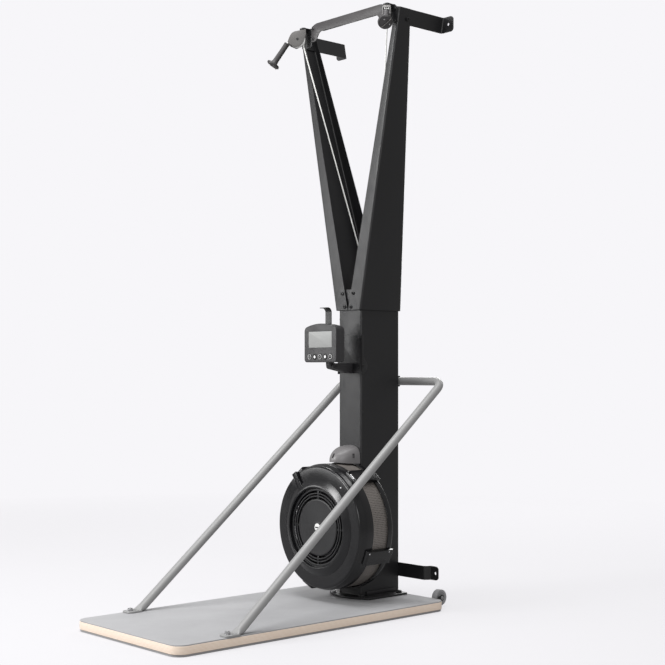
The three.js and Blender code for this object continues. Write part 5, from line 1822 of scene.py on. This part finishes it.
@dataclass(frozen=True)
class WallTab:
    """The tab of a strap that lies on the wall, with its hole and rounded corners."""

    end_x: float
    hole_x: float
    z: Span
    round: float = 15.0
    hole: float = 5.5

    def corner(self, z: float, up: int) -> Blank:
        """What is cut off to round one corner of the tab.

        Args:
            z: The corner's height.
            up: The sign of the way out of the tab there.

        Returns:
            The blank.
        """
        x, out = self.end_x, math.copysign(1, self.end_x)
        cx, cz = x - out * self.round, z - up * self.round
        made = block(sorted((cx, x + out)), (604.0, 640.0), sorted((cz, z + up)), 0)
        return made.cut(rod(Axis.Y, self.round, 600, 650, (cx, 0, cz), 64, 0))

    def drill(self) -> Blank:
        """What is cut out for the hole."""
        return rod(Axis.Y, self.hole, 600, 640, (self.hole_x, 0, sum(self.z) / 2), 24, 0)

    def corners(self) -> list[Blank]:
        """What is cut off to round both corners."""
        return [self.corner(self.z[0], -1), self.corner(self.z[1], 1)]


@dataclass
class WallStrap(SidedAssembly):
    """Bent strap from an arm's side to the wall."""

    front: float = 396.4
    thick: float = 4.0
    tab: WallTab = WallTab(319.3, 294.65, (2137.0, 2194.0))
    bolt_at: Span = (432.0, 2156.0)
    bolt: Fastener = HexBolt(13, 4.5, 8.6, 1.2)

    def build(self) -> None:
        """Makes the strap and its bolt."""
        arm = Arm(self.side)
        lines = []
        for z in self.tab.z:
            x, wall = arm.outer_x(z) + 0.3, PLAN.wall_y
            lines.append([Vector((*at, z)) for at in ((x, self.front), (x, wall), (self.tab.end_x, wall))])
        body = folded(*lines, 6.0, -self.thick, 5, 0.7).cut(self.tab.drill(), *self.tab.corners())
        self.put(body, "wall_strap", Finishes.BLACK, "wall_bracket")
        y, z = self.bolt_at
        bolt = self.bolt.at(arm.outward(), (arm.outer_x(z) + self.thick + 0.4, y, z))
        self.put(bolt, "wall_strap_bolts", Finishes.BLACK)


@dataclass
class Joins:
    """Splice plate, crossbar and wall brackets."""

    splice_half: float = 55.0
    splice_z: Span = (1112.3, 1190.0)
    splice_y: Span = (391.7, 396.2)
    splice_bolts: Outline = ((17, 1124, 399.8), (-17, 1124, 399.8), (30, 1174, 396.2), (-30, 1174, 396.2))
    splice_bolt: Fastener = HexBolt(13, 5, 8.5, 1.2)
    splice_front: float = 388.1
    shank: Span = (4.0, 384.0)
    nut: Span = (7.4, 5.0)
    bar: Outline = (
        (204.7, 2211, 4), (180, 2221, 10), (-180, 2221, 10), (-204.7, 2211, 4), (-204.7, 2152, 5),
        (-181.7, 2152, 8), (-158.7, 2186, 10), (158.7, 2186, 10), (181.7, 2152, 8), (204.7, 2152, 5),
    )
    bar_y: Span = (384.1, 388.1)
    bar_lip: tuple[Span, Span, Span] = ((-150, 150), (388.0, 399.0), (2188.0, 2190.6))
    bar_screws: Outline = ((-194, 2163), (-194, 2202), (194, 2163), (194, 2202))
    bar_screw: Fastener = SocketScrew(4.8, 3.0)
    strap_z: Span = (102.5, 154.5)
    strap_half: Outline = ((-248, 618), (-208, 618), (-196, 595.5))
    strap_hole: float = 233.0
    strap_bolts: Span = (-38, 38)

    def build_splice(self) -> None:
        """Plate behind the arms' seam with its bolts and nuts."""
        shape = oblong((-self.splice_half, self.splice_half), self.splice_z, 5)
        body = plate(shape, Axis.Y, *self.splice_y, 0.7)
        (thin, near), (wide, high) = self.shank, self.nut
        for x, z, seat in self.splice_bolts:
            body.add(self.splice_bolt.at(FRONT, (x, self.splice_front, z)))
            body.add(rod(Axis.Y, thin, near, seat + 4, (x, 0, z)))
            body.add(rod(Axis.Y, wide, seat, seat + high, (x, 0, z), 6, 0.4))
        body.piece("splice_sheet", Finishes.BLACK, replaces="splice_plate")

    def build_crossbar(self) -> None:
        """Flat bar between the arms' tops with deeper ends and a stiffening lip."""
        body = plate(self.bar, Axis.Y, *self.bar_y, 0.7).add(block(*self.bar_lip))
        body.piece("crossbar_sheet", Finishes.CROSSBAR, replaces="crossbar")
        screws = self.bar_screw.at(FRONT, *((x, self.bar_y[0], z) for x, z in self.bar_screws))
        screws.piece("crossbar_screws", Finishes.BLACK)

    def build_lower(self) -> None:
        """Strap across the column's foot with a raised tab on each side."""
        low, high = self.strap_z
        body = bent(doubled(self.strap_half, (-1, 1)), low, high, 3.0, 4.0, 4, 0.7)
        end = self.strap_half[0][0]
        tabs = [WallTab(-sign * end, sign * self.strap_hole, self.strap_z) for sign in (-1, 1)]
        body.cut(*(tab.drill() for tab in tabs)).cut(*(tool for tab in tabs for tool in tab.corners()))
        body.piece("floor_strap", Finishes.BLACK, replaces="lower_wall_bracket")
        spots = ((x, self.strap_half[2][1], (low + high) / 2) for x in self.strap_bolts)
        PLAN.bolt.at(REAR, *spots).piece("floor_strap_bolts", Finishes.BLACK)

    def build(self) -> None:
        """Makes every plate and strap."""
        self.build_splice()
        self.build_crossbar()
        for side in Side:
            WallStrap(side).build()
        self.build_lower()


# Drive


@dataclass
class Drive:
    """Guide rollers, drums, springs, shaft and bearings inside the column."""

    roller_x: Span = (-38.5, -5.5)
    web: Outline = ((-57, 1073), (57, 1073), (57, 1132), (50, 1206, 6), (-50, 1206, 6), (-57, 1132))
    web_y: Span = (539.0, 542.0)
    cheek: tuple[Span, Span, Span] = ((54, 57), (523, 539.6), (1073, 1132))
    tab: tuple[Span, Span, Span] = ((56.8, 58.7), (523, 542), (1073, 1089))
    pin: float = 4.0
    pin_foot: Span = (540.0, 541.0)
    pin_reach: float = 9.5
    pin_head: float = 7.0
    pin_head_y: Span = (9.0, 12.0)
    roller_half: Outline = ((4.3, -7), (21, -7, 1), (21, -5.4, 0.5), (13.7, -2.8, 1))

    def build_guide(self) -> None:
        """Folded plate that carries the rollers on pins."""
        body = plate(self.web, Axis.Y, *self.web_y, 0.6)
        for sign in (-1, 1):
            for across, deep, high in (self.cheek, self.tab):
                body.add(block(sorted(sign * x for x in across), deep, high, 0.6))
        for way, x, lane, foot in zip((-1, 1), self.roller_x, PLAN.lanes, self.pin_foot):
            spot = (x, 0, PLAN.roller_z)
            shank, head = (foot, lane + way * self.pin_reach), (lane + way * y for y in self.pin_head_y)
            body.add(rod(Axis.Y, self.pin, *sorted(shank), spot))
            body.add(rod(Axis.Y, self.pin_head, *sorted(head), spot, 32))
        body.piece("guide_sheet", Finishes.FAN, replaces="cord_guide")

    def build_rollers(self) -> None:
        """Two white rollers over which the cords turn down."""
        for side, x, lane in zip(Side, self.roller_x, PLAN.lanes):
            roller = turned(doubled(self.roller_half, (1, -1)), Axis.Y, (x, lane, PLAN.roller_z), 40)
            name = side.value
            roller.piece(f"roller_{name}", Finishes.NYLON, f"guide_{name}", f"guide_roller_{name}")

    def build(self) -> None:
        """Makes the guide and finishes the parts inside the column."""
        self.build_guide()
        self.build_rollers()
        for side in Side:
            keep(f"drive_drum_{side.value}", Finishes.NYLON, 0.4)
            keep(f"recoil_spring_{side.value}", Finishes.CASE, 0.6)
        keep("flywheel_shaft", Finishes.ZINC)
        for name in ("bearing_front", "bearing_rear"):
            keep(name, Finishes.FAN)


# Flywheel


@dataclass
class Flywheel:
    """Cage, cover, damper and grille about the fan."""

    cover_profile: Outline = (
        (143.3, 236, 0.8), (219.5, 236, 2.5), (224, 240.5, 2), (224, 247, 2.5), (232, 263, 5), (232, 298, 1),
        (229, 298, 1), (229, 263.5, 4), (221.2, 247.6, 2), (221.2, 241.7, 1.5), (218.4, 239, 1),
        (143.3, 239, 0.8),
    )
    tie_angles: Corner = (53.0, -23.0, 127.0, 246.5)
    tie_shape: Outline = (
        (229.6, 264.2), (242, 264.2, 4), (248, 270, 4), (248, 389, 3),
        (245, 391.6, 2), (236.4, 391.6), (236.4, 365.6), (229.6, 365.6),
    )
    tie_half: float = 27.0
    tie_screws: Outline = ((247.8, 274.0, 20.5), (247.8, 370.0, 20.5))
    tie_screw: Fastener = SocketScrew(3.4, 1.4)
    slot_tie: float = 53.0
    slot: tuple[Span, Span] = ((266.5, 273.5), (-21, 21))
    slot_x: Span = (243.0, 255.0)
    slider: tuple[Span, Span] = ((267.2, 272.8), (-19, 10))
    slider_x: Span = (242.5, 246.6)
    face_spot: Corner = (124.1, 236.1, 463.1)
    face_screw: Fastener = SocketScrew(3.6, 1.2)
    disc_profile: Outline = (
        (0, 234), (12, 234, 1), (14, 233, 0.5), (17, 233, 0.5), (20, 234.4, 2),
        (93, 233.4, 3), (100, 233, 1.5), (104, 234.6, 0.8), (104, 240, 0.8), (0, 240),
    )
    rings: Outline = ((112.08, 116.58, 233.6, 1), (122.42, 126.92, 233.6, 1), (134.6, 142.4, 234.5, 1.2))
    rings_back: Span = (240.0, 0.6)
    bridge: tuple[Span, Span, Span] = ((99, 138), (237, 240), (-4.5, 4.5))
    cap_profile: Outline = ((0, 235), (15.5, 235), (15.5, 233.4, 0.6), (13.6, 232.4, 0.6), (0, 232.4))
    cap_bar: tuple[Span, Span] = ((-10.5, 10.5), (231.6, 232.9))
    cap_bar_half: float = 2.2
    damper_profile: Outline = (
        (146, 235.7), (146, 223.6, 1.5), (148, 222.7, 1), (153, 222.7, 3), (178, 235.2, 1), (178, 235.7),
    )
    lever_angle: float = 123.0
    lever_half: Outline = ((160, -15, 4), (196, -10.5, 12), (226, -13, 3), (230, -10, 3))
    lever_y: Span = (226.4, 235.7)
    ridges: Outline = ((-8.5, -8.0), (8.5, 8.0))
    ridge_x: Span = (172.0, 222.0)
    ridge_y: Span = (224.9, 228.0)
    lever_tip: tuple[Span, Span] = ((224.3, 230), (-11.5, 11.5))
    lever_tip_y: Span = (225.5, 243.7)
    tick: tuple[Span, Span, Span] = ((149.4, 152.6), (222.0, 224.0), (-0.9, 0.9))
    tick_start: float = 150.0
    tick_step: float = 9.0
    tick_count: int = 10
    band_radius: float = 228.7
    band_y: Span = (290.0, 388.4)
    band_cells: tuple[int, int] = (224, 15)
    band_web: float = 1.7
    band_sheet: float = 1.2
    housing_profile: Outline = (
        (25, 388.7), (150, 388.7, 4), (156, 386.4, 4), (196, 386.4, 4), (202, 388.7, 4), (230.4, 388.7, 2.4),
        (233, 386.0, 1), (233, 366, 0.8), (236, 366, 0.8), (236, 387.4, 3.5), (231.6, 391.7, 3.5),
        (203, 391.7, 4), (197, 389.4, 4), (155, 389.4, 4), (149, 391.7, 4), (80, 391.7, 1.5),
        (80, 396.2, 1), (25, 396.2),
    )
    housing_spot: Corner = (214, 391.7, 0)
    housing_screw: Fastener = SocketScrew(3.8, 2.2)
    housing_screws: int = 8
    hood_half: float = 56.0
    hood_reach: float = 90.0
    hood_back: float = 396.2
    hood_z: Corner = (428.0, 500.0, 550.0)
    hood_rise: float = 56.0
    hood_power: float = 3.2
    hood_turn: float = 88.0
    hood_rings: int = 18
    hood_bore: float = 236.3
    hood_slots: Corner = (-60.0, 0.0, 60.0)
    hood_slot: tuple[Span, Span] = ((-4.5, 4.5), (560.5, 577.5))
    smooth: float = 30.0

    @property
    def centre(self) -> Corner:
        """A point on the flywheel's axis."""
        return 0.0, 0.0, PLAN.wheel_z

    def about(self, angle: float) -> Matrix:
        """Place of a form drawn at three o'clock, turned to an angle from +X towards +Z."""
        return Matrix.Translation(self.centre) @ Matrix.Rotation(math.radians(-angle), 4, "Y")

    def spun(self, profile: Outline, steps: int) -> Blank:
        """A profile spun about the flywheel's axis in so many steps."""
        return turned(profile, Axis.Y, self.centre, steps)

    def build_cover(self) -> None:
        """Dished front cover with its tie blocks and screws."""
        body, half = self.spun(self.cover_profile, 128), self.tie_half
        screws = Blank()
        for angle in self.tie_angles:
            tie = plate(self.tie_shape, Axis.Z, -half, half, 2.0, 3, 4)
            if angle == self.slot_tie:
                tie.cut(plate(oblong(*self.slot, 3.4), Axis.X, *self.slot_x, 0))
                metal = plate(oblong(*self.slider, 2.8), Axis.X, *self.slider_x, 0.8)
            else:
                metal = self.tie_screw.at(ACROSS, *self.tie_screws)
            body.add(tie.place(self.about(angle)))
            screws.add(metal.place(self.about(angle)))
        body.piece("cover_shell", Finishes.COVER, replaces="front_cover", smooth=self.smooth)
        screws.add(self.face_screw.at(FRONT, self.face_spot))
        screws.piece("cover_screws", Finishes.ZINC)

    def build_grille(self) -> None:
        """Centre disc, rings, rim and ribs of the air intake."""
        body = self.spun(self.disc_profile, 96)
        for low, high, front, corner in self.rings:
            face = ((low, front, corner), (high, front, corner))
            body.add(self.spun((*face, (high, *self.rings_back), (low, *self.rings_back)), 96))
        for angle in range(0, 360, 90):
            body.add(block(*self.bridge, 0.6).place(self.about(angle)))
        body.piece("grille_face", Finishes.GRILLE, replaces="intake_grille")
        self.spun(self.cap_profile, 48).piece("grille_cap", Finishes.NYLON)
        z, half = PLAN.wheel_z, self.cap_bar_half
        block(*self.cap_bar, (z - half, z + half), 0.5).piece("grille_cap_bar", Finishes.COVER)

    def build_damper(self) -> None:
        """Turning ring with its lever and detent marks."""
        body = self.spun(self.damper_profile, 128)
        lever = [plate(doubled(self.lever_half, (1, -1)), Axis.Y, *self.lever_y, 2.0, 4, 6)]
        near, far = self.ridge_x
        for root, end in self.ridges:
            ridge = [(near, root - 1), (far, end - 1), (far, end + 1), (near, root + 1)]
            lever.append(plate(ridge, Axis.Y, *self.ridge_y, 0.6))
        lever.append(plate(oblong(*self.lever_tip, 1.5), Axis.Y, *self.lever_tip_y, 1.2, 3))
        body.add(*(form.place(self.about(self.lever_angle)) for form in lever))
        for i in range(self.tick_count):
            spot = self.about(self.lever_angle + self.tick_start + self.tick_step * i)
            body.add(block(*self.tick, 0.3).place(spot))
        body.piece("damper_lever", Finishes.COVER, "damper", "damper_ring", self.smooth)

    def build_band(self) -> None:
        """Perforated steel band round the fan."""
        made = Blank()
        bm, radius, (front, back), (around, deep) = made.mesh, self.band_radius, self.band_y, self.band_cells
        depth = back - front
        bmesh.ops.create_grid(bm, x_segments=around, y_segments=deep, size=0.5)
        bmesh.ops.scale(bm, vec=(radius * math.tau, depth, 1), verts=bm.verts[:])
        inner = [f for f in bm.faces if abs(f.calc_center_median().y) < depth / 2 - depth / deep * 1.1]
        bmesh.ops.inset_individual(bm, faces=inner, thickness=self.band_web, use_even_offset=True)
        bmesh.ops.delete(bm, geom=inner, context="FACES")
        for vert in bm.verts:
            angle, y = vert.co.x / radius, vert.co.y + (front + back) / 2
            vert.co = (radius * math.cos(angle), y, PLAN.wheel_z + radius * math.sin(angle))
        bmesh.ops.remove_doubles(bm, verts=bm.verts[:], dist=0.01)
        bmesh.ops.recalc_face_normals(bm, faces=bm.faces[:])
        bmesh.ops.solidify(bm, geom=bm.faces[:], thickness=self.band_sheet)
        made.closed().piece("band_mesh", Finishes.BAND, replaces="cage_band", smooth=self.smooth)

    def build_housing(self) -> None:
        """Rear wall of the cage with its rolled rim and pressed ring."""
        body = self.spun(self.housing_profile, 112)
        body.piece("housing_shell", Finishes.COVER, replaces="rear_housing", smooth=self.smooth)
        screws, count = Blank(), self.housing_screws
        for i in range(count):
            head = self.housing_screw.at(REAR, self.housing_spot)
            screws.add(head.place(self.about(360 / count * (i + 0.5))))
        screws.piece("housing_screws", Finishes.ZINC)

    def build_hood(self) -> None:
        """Domed hood between the cage and the column, with its slots."""
        half, reach, back, power = self.hood_half, self.hood_reach, self.hood_back, self.hood_power
        *straight, spring = self.hood_z
        shell = [(z, 1.0, 1.0) for z in straight]
        for i in range(self.hood_rings + 1):
            angle = math.radians(self.hood_turn * i / self.hood_rings)
            rise = math.sin(angle)
            shell.append((spring + self.hood_rise * rise, (1 - rise**power) ** (1 / power), math.cos(angle)))
        rings = []
        for z, wide, deep in shell:
            size = Matrix.Diagonal((half * wide, reach * deep, 1, 1))
            rings.append(Matrix.Translation((0, back, z)) @ size)
        tools = [rod(Axis.Y, self.hood_bore, 300, 430, self.centre, 128, 0)]
        tools.append(block((-80, 80), (back, 500), (400, 620), 0))
        for angle in map(math.radians, self.hood_slots):
            out = 1 / math.hypot(math.sin(angle) / half, math.cos(angle) / reach)
            slot = plate(oblong(*self.hood_slot, 2), Axis.Y, -out - 5, 14 - out, 0)
            tools.append(slot.place(Matrix.Translation((0, back, 0)) @ Matrix.Rotation(angle, 4, "Z")))
        hood = lofted(rings, 96).cut(*tools).closed()
        hood.piece("hood_shell", Finishes.HOOD, replaces="flywheel_hood", smooth=26)

    def build(self) -> None:
        """Makes the cage and finishes the fan."""
        self.build_cover()
        self.build_grille()
        self.build_damper()
        self.build_band()
        self.build_housing()
        self.build_hood()
        keep("fan_wheel", Finishes.FAN, 0.4)


# Monitor


@dataclass
class Monitor:
    """The monitor with its buttons, hook, arm and bracket."""

    case_y: Span = (246.5, 288.5)
    half: float = 88.0
    low: float = 916.0
    shoulder: float = 1043.0
    crown: float = 1058.2
    bow: float = 15.2
    seam_y: Span = (268.0, 269.2)
    pocket: tuple[Span, Span] = ((-63.8, 63.8), (969.7, 1029.3))
    pocket_y: Span = (230.0, 248.8)
    screen: tuple[Span, Span] = ((-63.5, 63.5), (970.0, 1029.0))
    screen_y: Span = (246.7, 248.5)
    well: float = 11.3
    well_y: Span = (230.0, 251.6)
    button_z: float = 936.0
    button_count: int = 5
    pitch: float = 28.6
    button_profile: Outline = ((0, 245.2), (8.6, 245.0, 0.8), (11, 246.4, 1.2), (11, 250), (0, 250))
    mark_y: Span = (244.9, 245.4)
    mark_ring: Span = (7.5, 8.6)
    mark_dash: Span = (2.6, 0.5)
    mark_disc: float = 5.2
    hinge: Span = (304.5, 902.0)
    lug: float = 11.0
    lug_half: float = 12.0
    rear_lug: Outline = ((286, 925), (286, 905), (300, 892, 1), (310, 912, 3), (296, 925))
    boss: tuple[Span, Span] = ((-72, 72), (930, 1030))
    hook_half: float = 16.5
    hook_line: Outline = ((290.3, 991), (290.3, 1119.0), (259.8, 1117.5))
    hook_curl: float = 19.0
    hook_sheet: float = 3.0
    arm_back: Outline = ((381.7, 876, 4), (392.7, 876, 2), (392.7, 913, 2))
    arm_core: Outline = (
        (318.5, 912.8), (318.5, 888.6), (381.7, 876.2, 4), (392.7, 876.2, 2), (392.7, 912.8, 2),
    )
    core_half: float = 12.6
    prongs_x: Outline = ((-19.3, -12.3), (12.3, 19.3))
    hinge_pin: Span = (5.0, 20.0)
    hinge_screw: Fastener = SocketScrew(6.5, 3.0)
    bracket: tuple[Span, Span] = ((-64.8, 64.8), (879.0, 1019.0))
    bracket_y: Span = (393.0, 396.2)
    cheek_y: Span = (393.2, 408.5)
    cheek_round: Corner = (396.5, 902.0, 30.0)
    cheek_turns: tuple[int, int, int] = (-88, 61, 8)
    cheek_z: Span = (872.4, 935.0)
    cheek_sheet: float = 2.5
    cheek_spot: Span = (405.0, 902.0)
    cheek_screw: Fastener = SocketScrew(5, 2.6)
    plate_spots: Outline = ((52, 893), (52, 1005))
    plate_screw: Fastener = SocketScrew(4.2, 2.6)

    def outline(self, grow: float) -> list[Corner]:
        """Outline of the case with its bowed top.

        Args:
            grow: How far it stands out past the case.

        Returns:
            The corners, from the bottom left.
        """
        half, low, high = self.half + grow, self.low - grow, self.shoulder + grow
        crown = [(x, self.crown + grow - self.bow * (x / self.half) ** 2) for x in range(72, -73, -12)]
        return [(-half, low, 12), (half, low, 12), (half, high, 12), *crown, (-half, high, 12)]

    def spots(self) -> list[Corner]:
        """Middles of the buttons, from the left."""
        middle = (self.button_count - 1) / 2
        return [(self.pitch * (i - middle), 0.0, self.button_z) for i in range(self.button_count)]

    def build_case(self) -> None:
        """Case with its pocket, wells, seam and lug."""
        body = plate(self.outline(0.0), Axis.Y, *self.case_y, 2.4, 4, 8)
        pocket = plate(oblong(*self.pocket, 3), Axis.Y, *self.pocket_y, 0)
        body.cut(pocket, *(rod(Axis.Y, self.well, *self.well_y, spot, 32, 0) for spot in self.spots()))
        body.add(plate(self.outline(0.25), Axis.Y, *self.seam_y, 0.3, 1, 8))
        body.add(rod(Axis.X, self.lug, -self.lug_half, self.lug_half, (0, *self.hinge), 32, 0.8))
        body.add(plate(self.rear_lug, Axis.X, -self.lug_half, self.lug_half, 0.8))
        back = self.case_y[1]
        body.add(plate(oblong(*self.boss, 6), Axis.Y, back - 0.5, back + 0.9, 0.9, 3, 6))
        body.piece("monitor_shell", Finishes.CASE, "monitor", "monitor_case", 28)

    def build_screen(self) -> None:
        """Pale screen behind a dark frame."""
        panel = plate(oblong(*self.screen, 2.6), Axis.Y, *self.screen_y, 0.5)
        panel.piece("screen_pane", Finishes.SCREEN, "monitor", "monitor_screen")

    def build_buttons(self) -> None:
        """Round buttons, marked with a ring and a disc by turns."""
        (long, high), (front, back) = self.mark_dash, self.mark_y
        for number, spot in enumerate(self.spots(), 1):
            (x, _, z), body = spot, f"button_{number}"
            turned(self.button_profile, Axis.Y, spot, 40).piece(f"key_{number}", Finishes.BUTTON, body, body)
            if number % 2:
                mark = turned(oblong(self.mark_ring, self.mark_y), Axis.Y, spot, 40)
                mark.add(block((x - long, x + long), (front + 0.05, back), (z - high, z + high), 0.1))
            else:
                mark = turned(oblong((0, self.mark_disc), self.mark_y), Axis.Y, spot, 24)
            mark.piece(f"key_mark_{number}", Finishes.MARK, body)

    def build_hook(self) -> None:
        """Sliding hook that holds a telephone or tablet."""
        half = self.hook_half
        start, end = ([Vector((x, *corner)) for corner in self.hook_line] for x in (-half, half))
        body = folded(start, end, self.hook_curl, self.hook_sheet, 10, 0.6)
        body.piece("hook_sheet", Finishes.BLACK, "hook", "device_hook")

    def build_arm(self) -> None:
        """Forked arm from the bracket to the hinge, with its pin."""
        (y, z), reach = self.hinge, self.lug
        angles = [math.radians(90 + 12 * i) for i in range(16)]
        lug = [(y + reach * math.cos(a), z + reach * math.sin(a)) for a in angles]
        body, (thin, long), half = Blank(), self.hinge_pin, self.core_half
        for span in self.prongs_x:
            body.add(plate([*lug, *self.arm_back], Axis.X, *span, 1.0))
        body.add(plate(self.arm_core, Axis.X, -half, half, 0.6))
        body.add(rod(Axis.X, thin, -long, long, (0, y, z), 24, 0))
        for sign in (-1, 1):
            body.add(self.hinge_screw.at(ACROSS * sign, (sign * self.prongs_x[1][1], y, z)))
        body.piece("monitor_fork", Finishes.CASE, replaces="monitor_arm")

    def build_bracket(self) -> None:
        """Plate on the column with round cheeks at its sides."""
        (left, right), (low, high) = self.bracket
        body = plate(oblong(*self.bracket, 4), Axis.Y, *self.bracket_y, 0.7)
        (y, z, reach), (near, far), (foot, neck) = self.cheek_round, self.cheek_y, self.cheek_z
        angles = map(math.radians, range(*self.cheek_turns))
        arc = [(y + reach * math.cos(angle), z + reach * math.sin(angle)) for angle in angles]
        shape = [(near, low, 1), (near, foot), *arc, (far, neck), (far, high, 6), (near, high, 1)]
        for start in (left, right - self.cheek_sheet):
            body.add(plate(shape, Axis.X, start, start + self.cheek_sheet, 0.6))
        body.piece("bracket_sheet", Finishes.BLACK, replaces="monitor_bracket")
        screws = Blank()
        for sign in (-1, 1):
            screws.add(self.cheek_screw.at(ACROSS * sign, (sign * right, *self.cheek_spot)))
            spots = ((sign * x, self.bracket_y[0], z) for x, z in self.plate_spots)
            screws.add(self.plate_screw.at(FRONT, *spots))
        screws.piece("bracket_screws", Finishes.BLACK)

    def build(self) -> None:
        """Makes every piece of the monitor."""
        self.build_case()
        self.build_screen()
        self.build_buttons()
        self.build_hook()
        self.build_arm()
        self.build_bracket()


def main() -> None:
    """Builds the studio, the cords and every sub-assembly in turn."""
    logging.basicConfig(level=logging.INFO, format="%(message)s")
    Studio().build()
    swivels = [SwivelSide(Side.LEFT, 42.1, 56.0), SwivelSide(Side.RIGHT, 42.7, 37.0)]
    Cords().build({swivel.side: (swivel.matrix(), swivel.droop) for swivel in swivels})
    for swivel in swivels:
        swivel.build()
    FloorStand().build()
    Rail().build()
    for side in Side:
        TransportWheel(side).build()
        Arm(side).build()
    Column().build()
    Joins().build()
    Drive().build()
    Flywheel().build()
    Monitor().build()


if __name__ == "__main__":
    main()
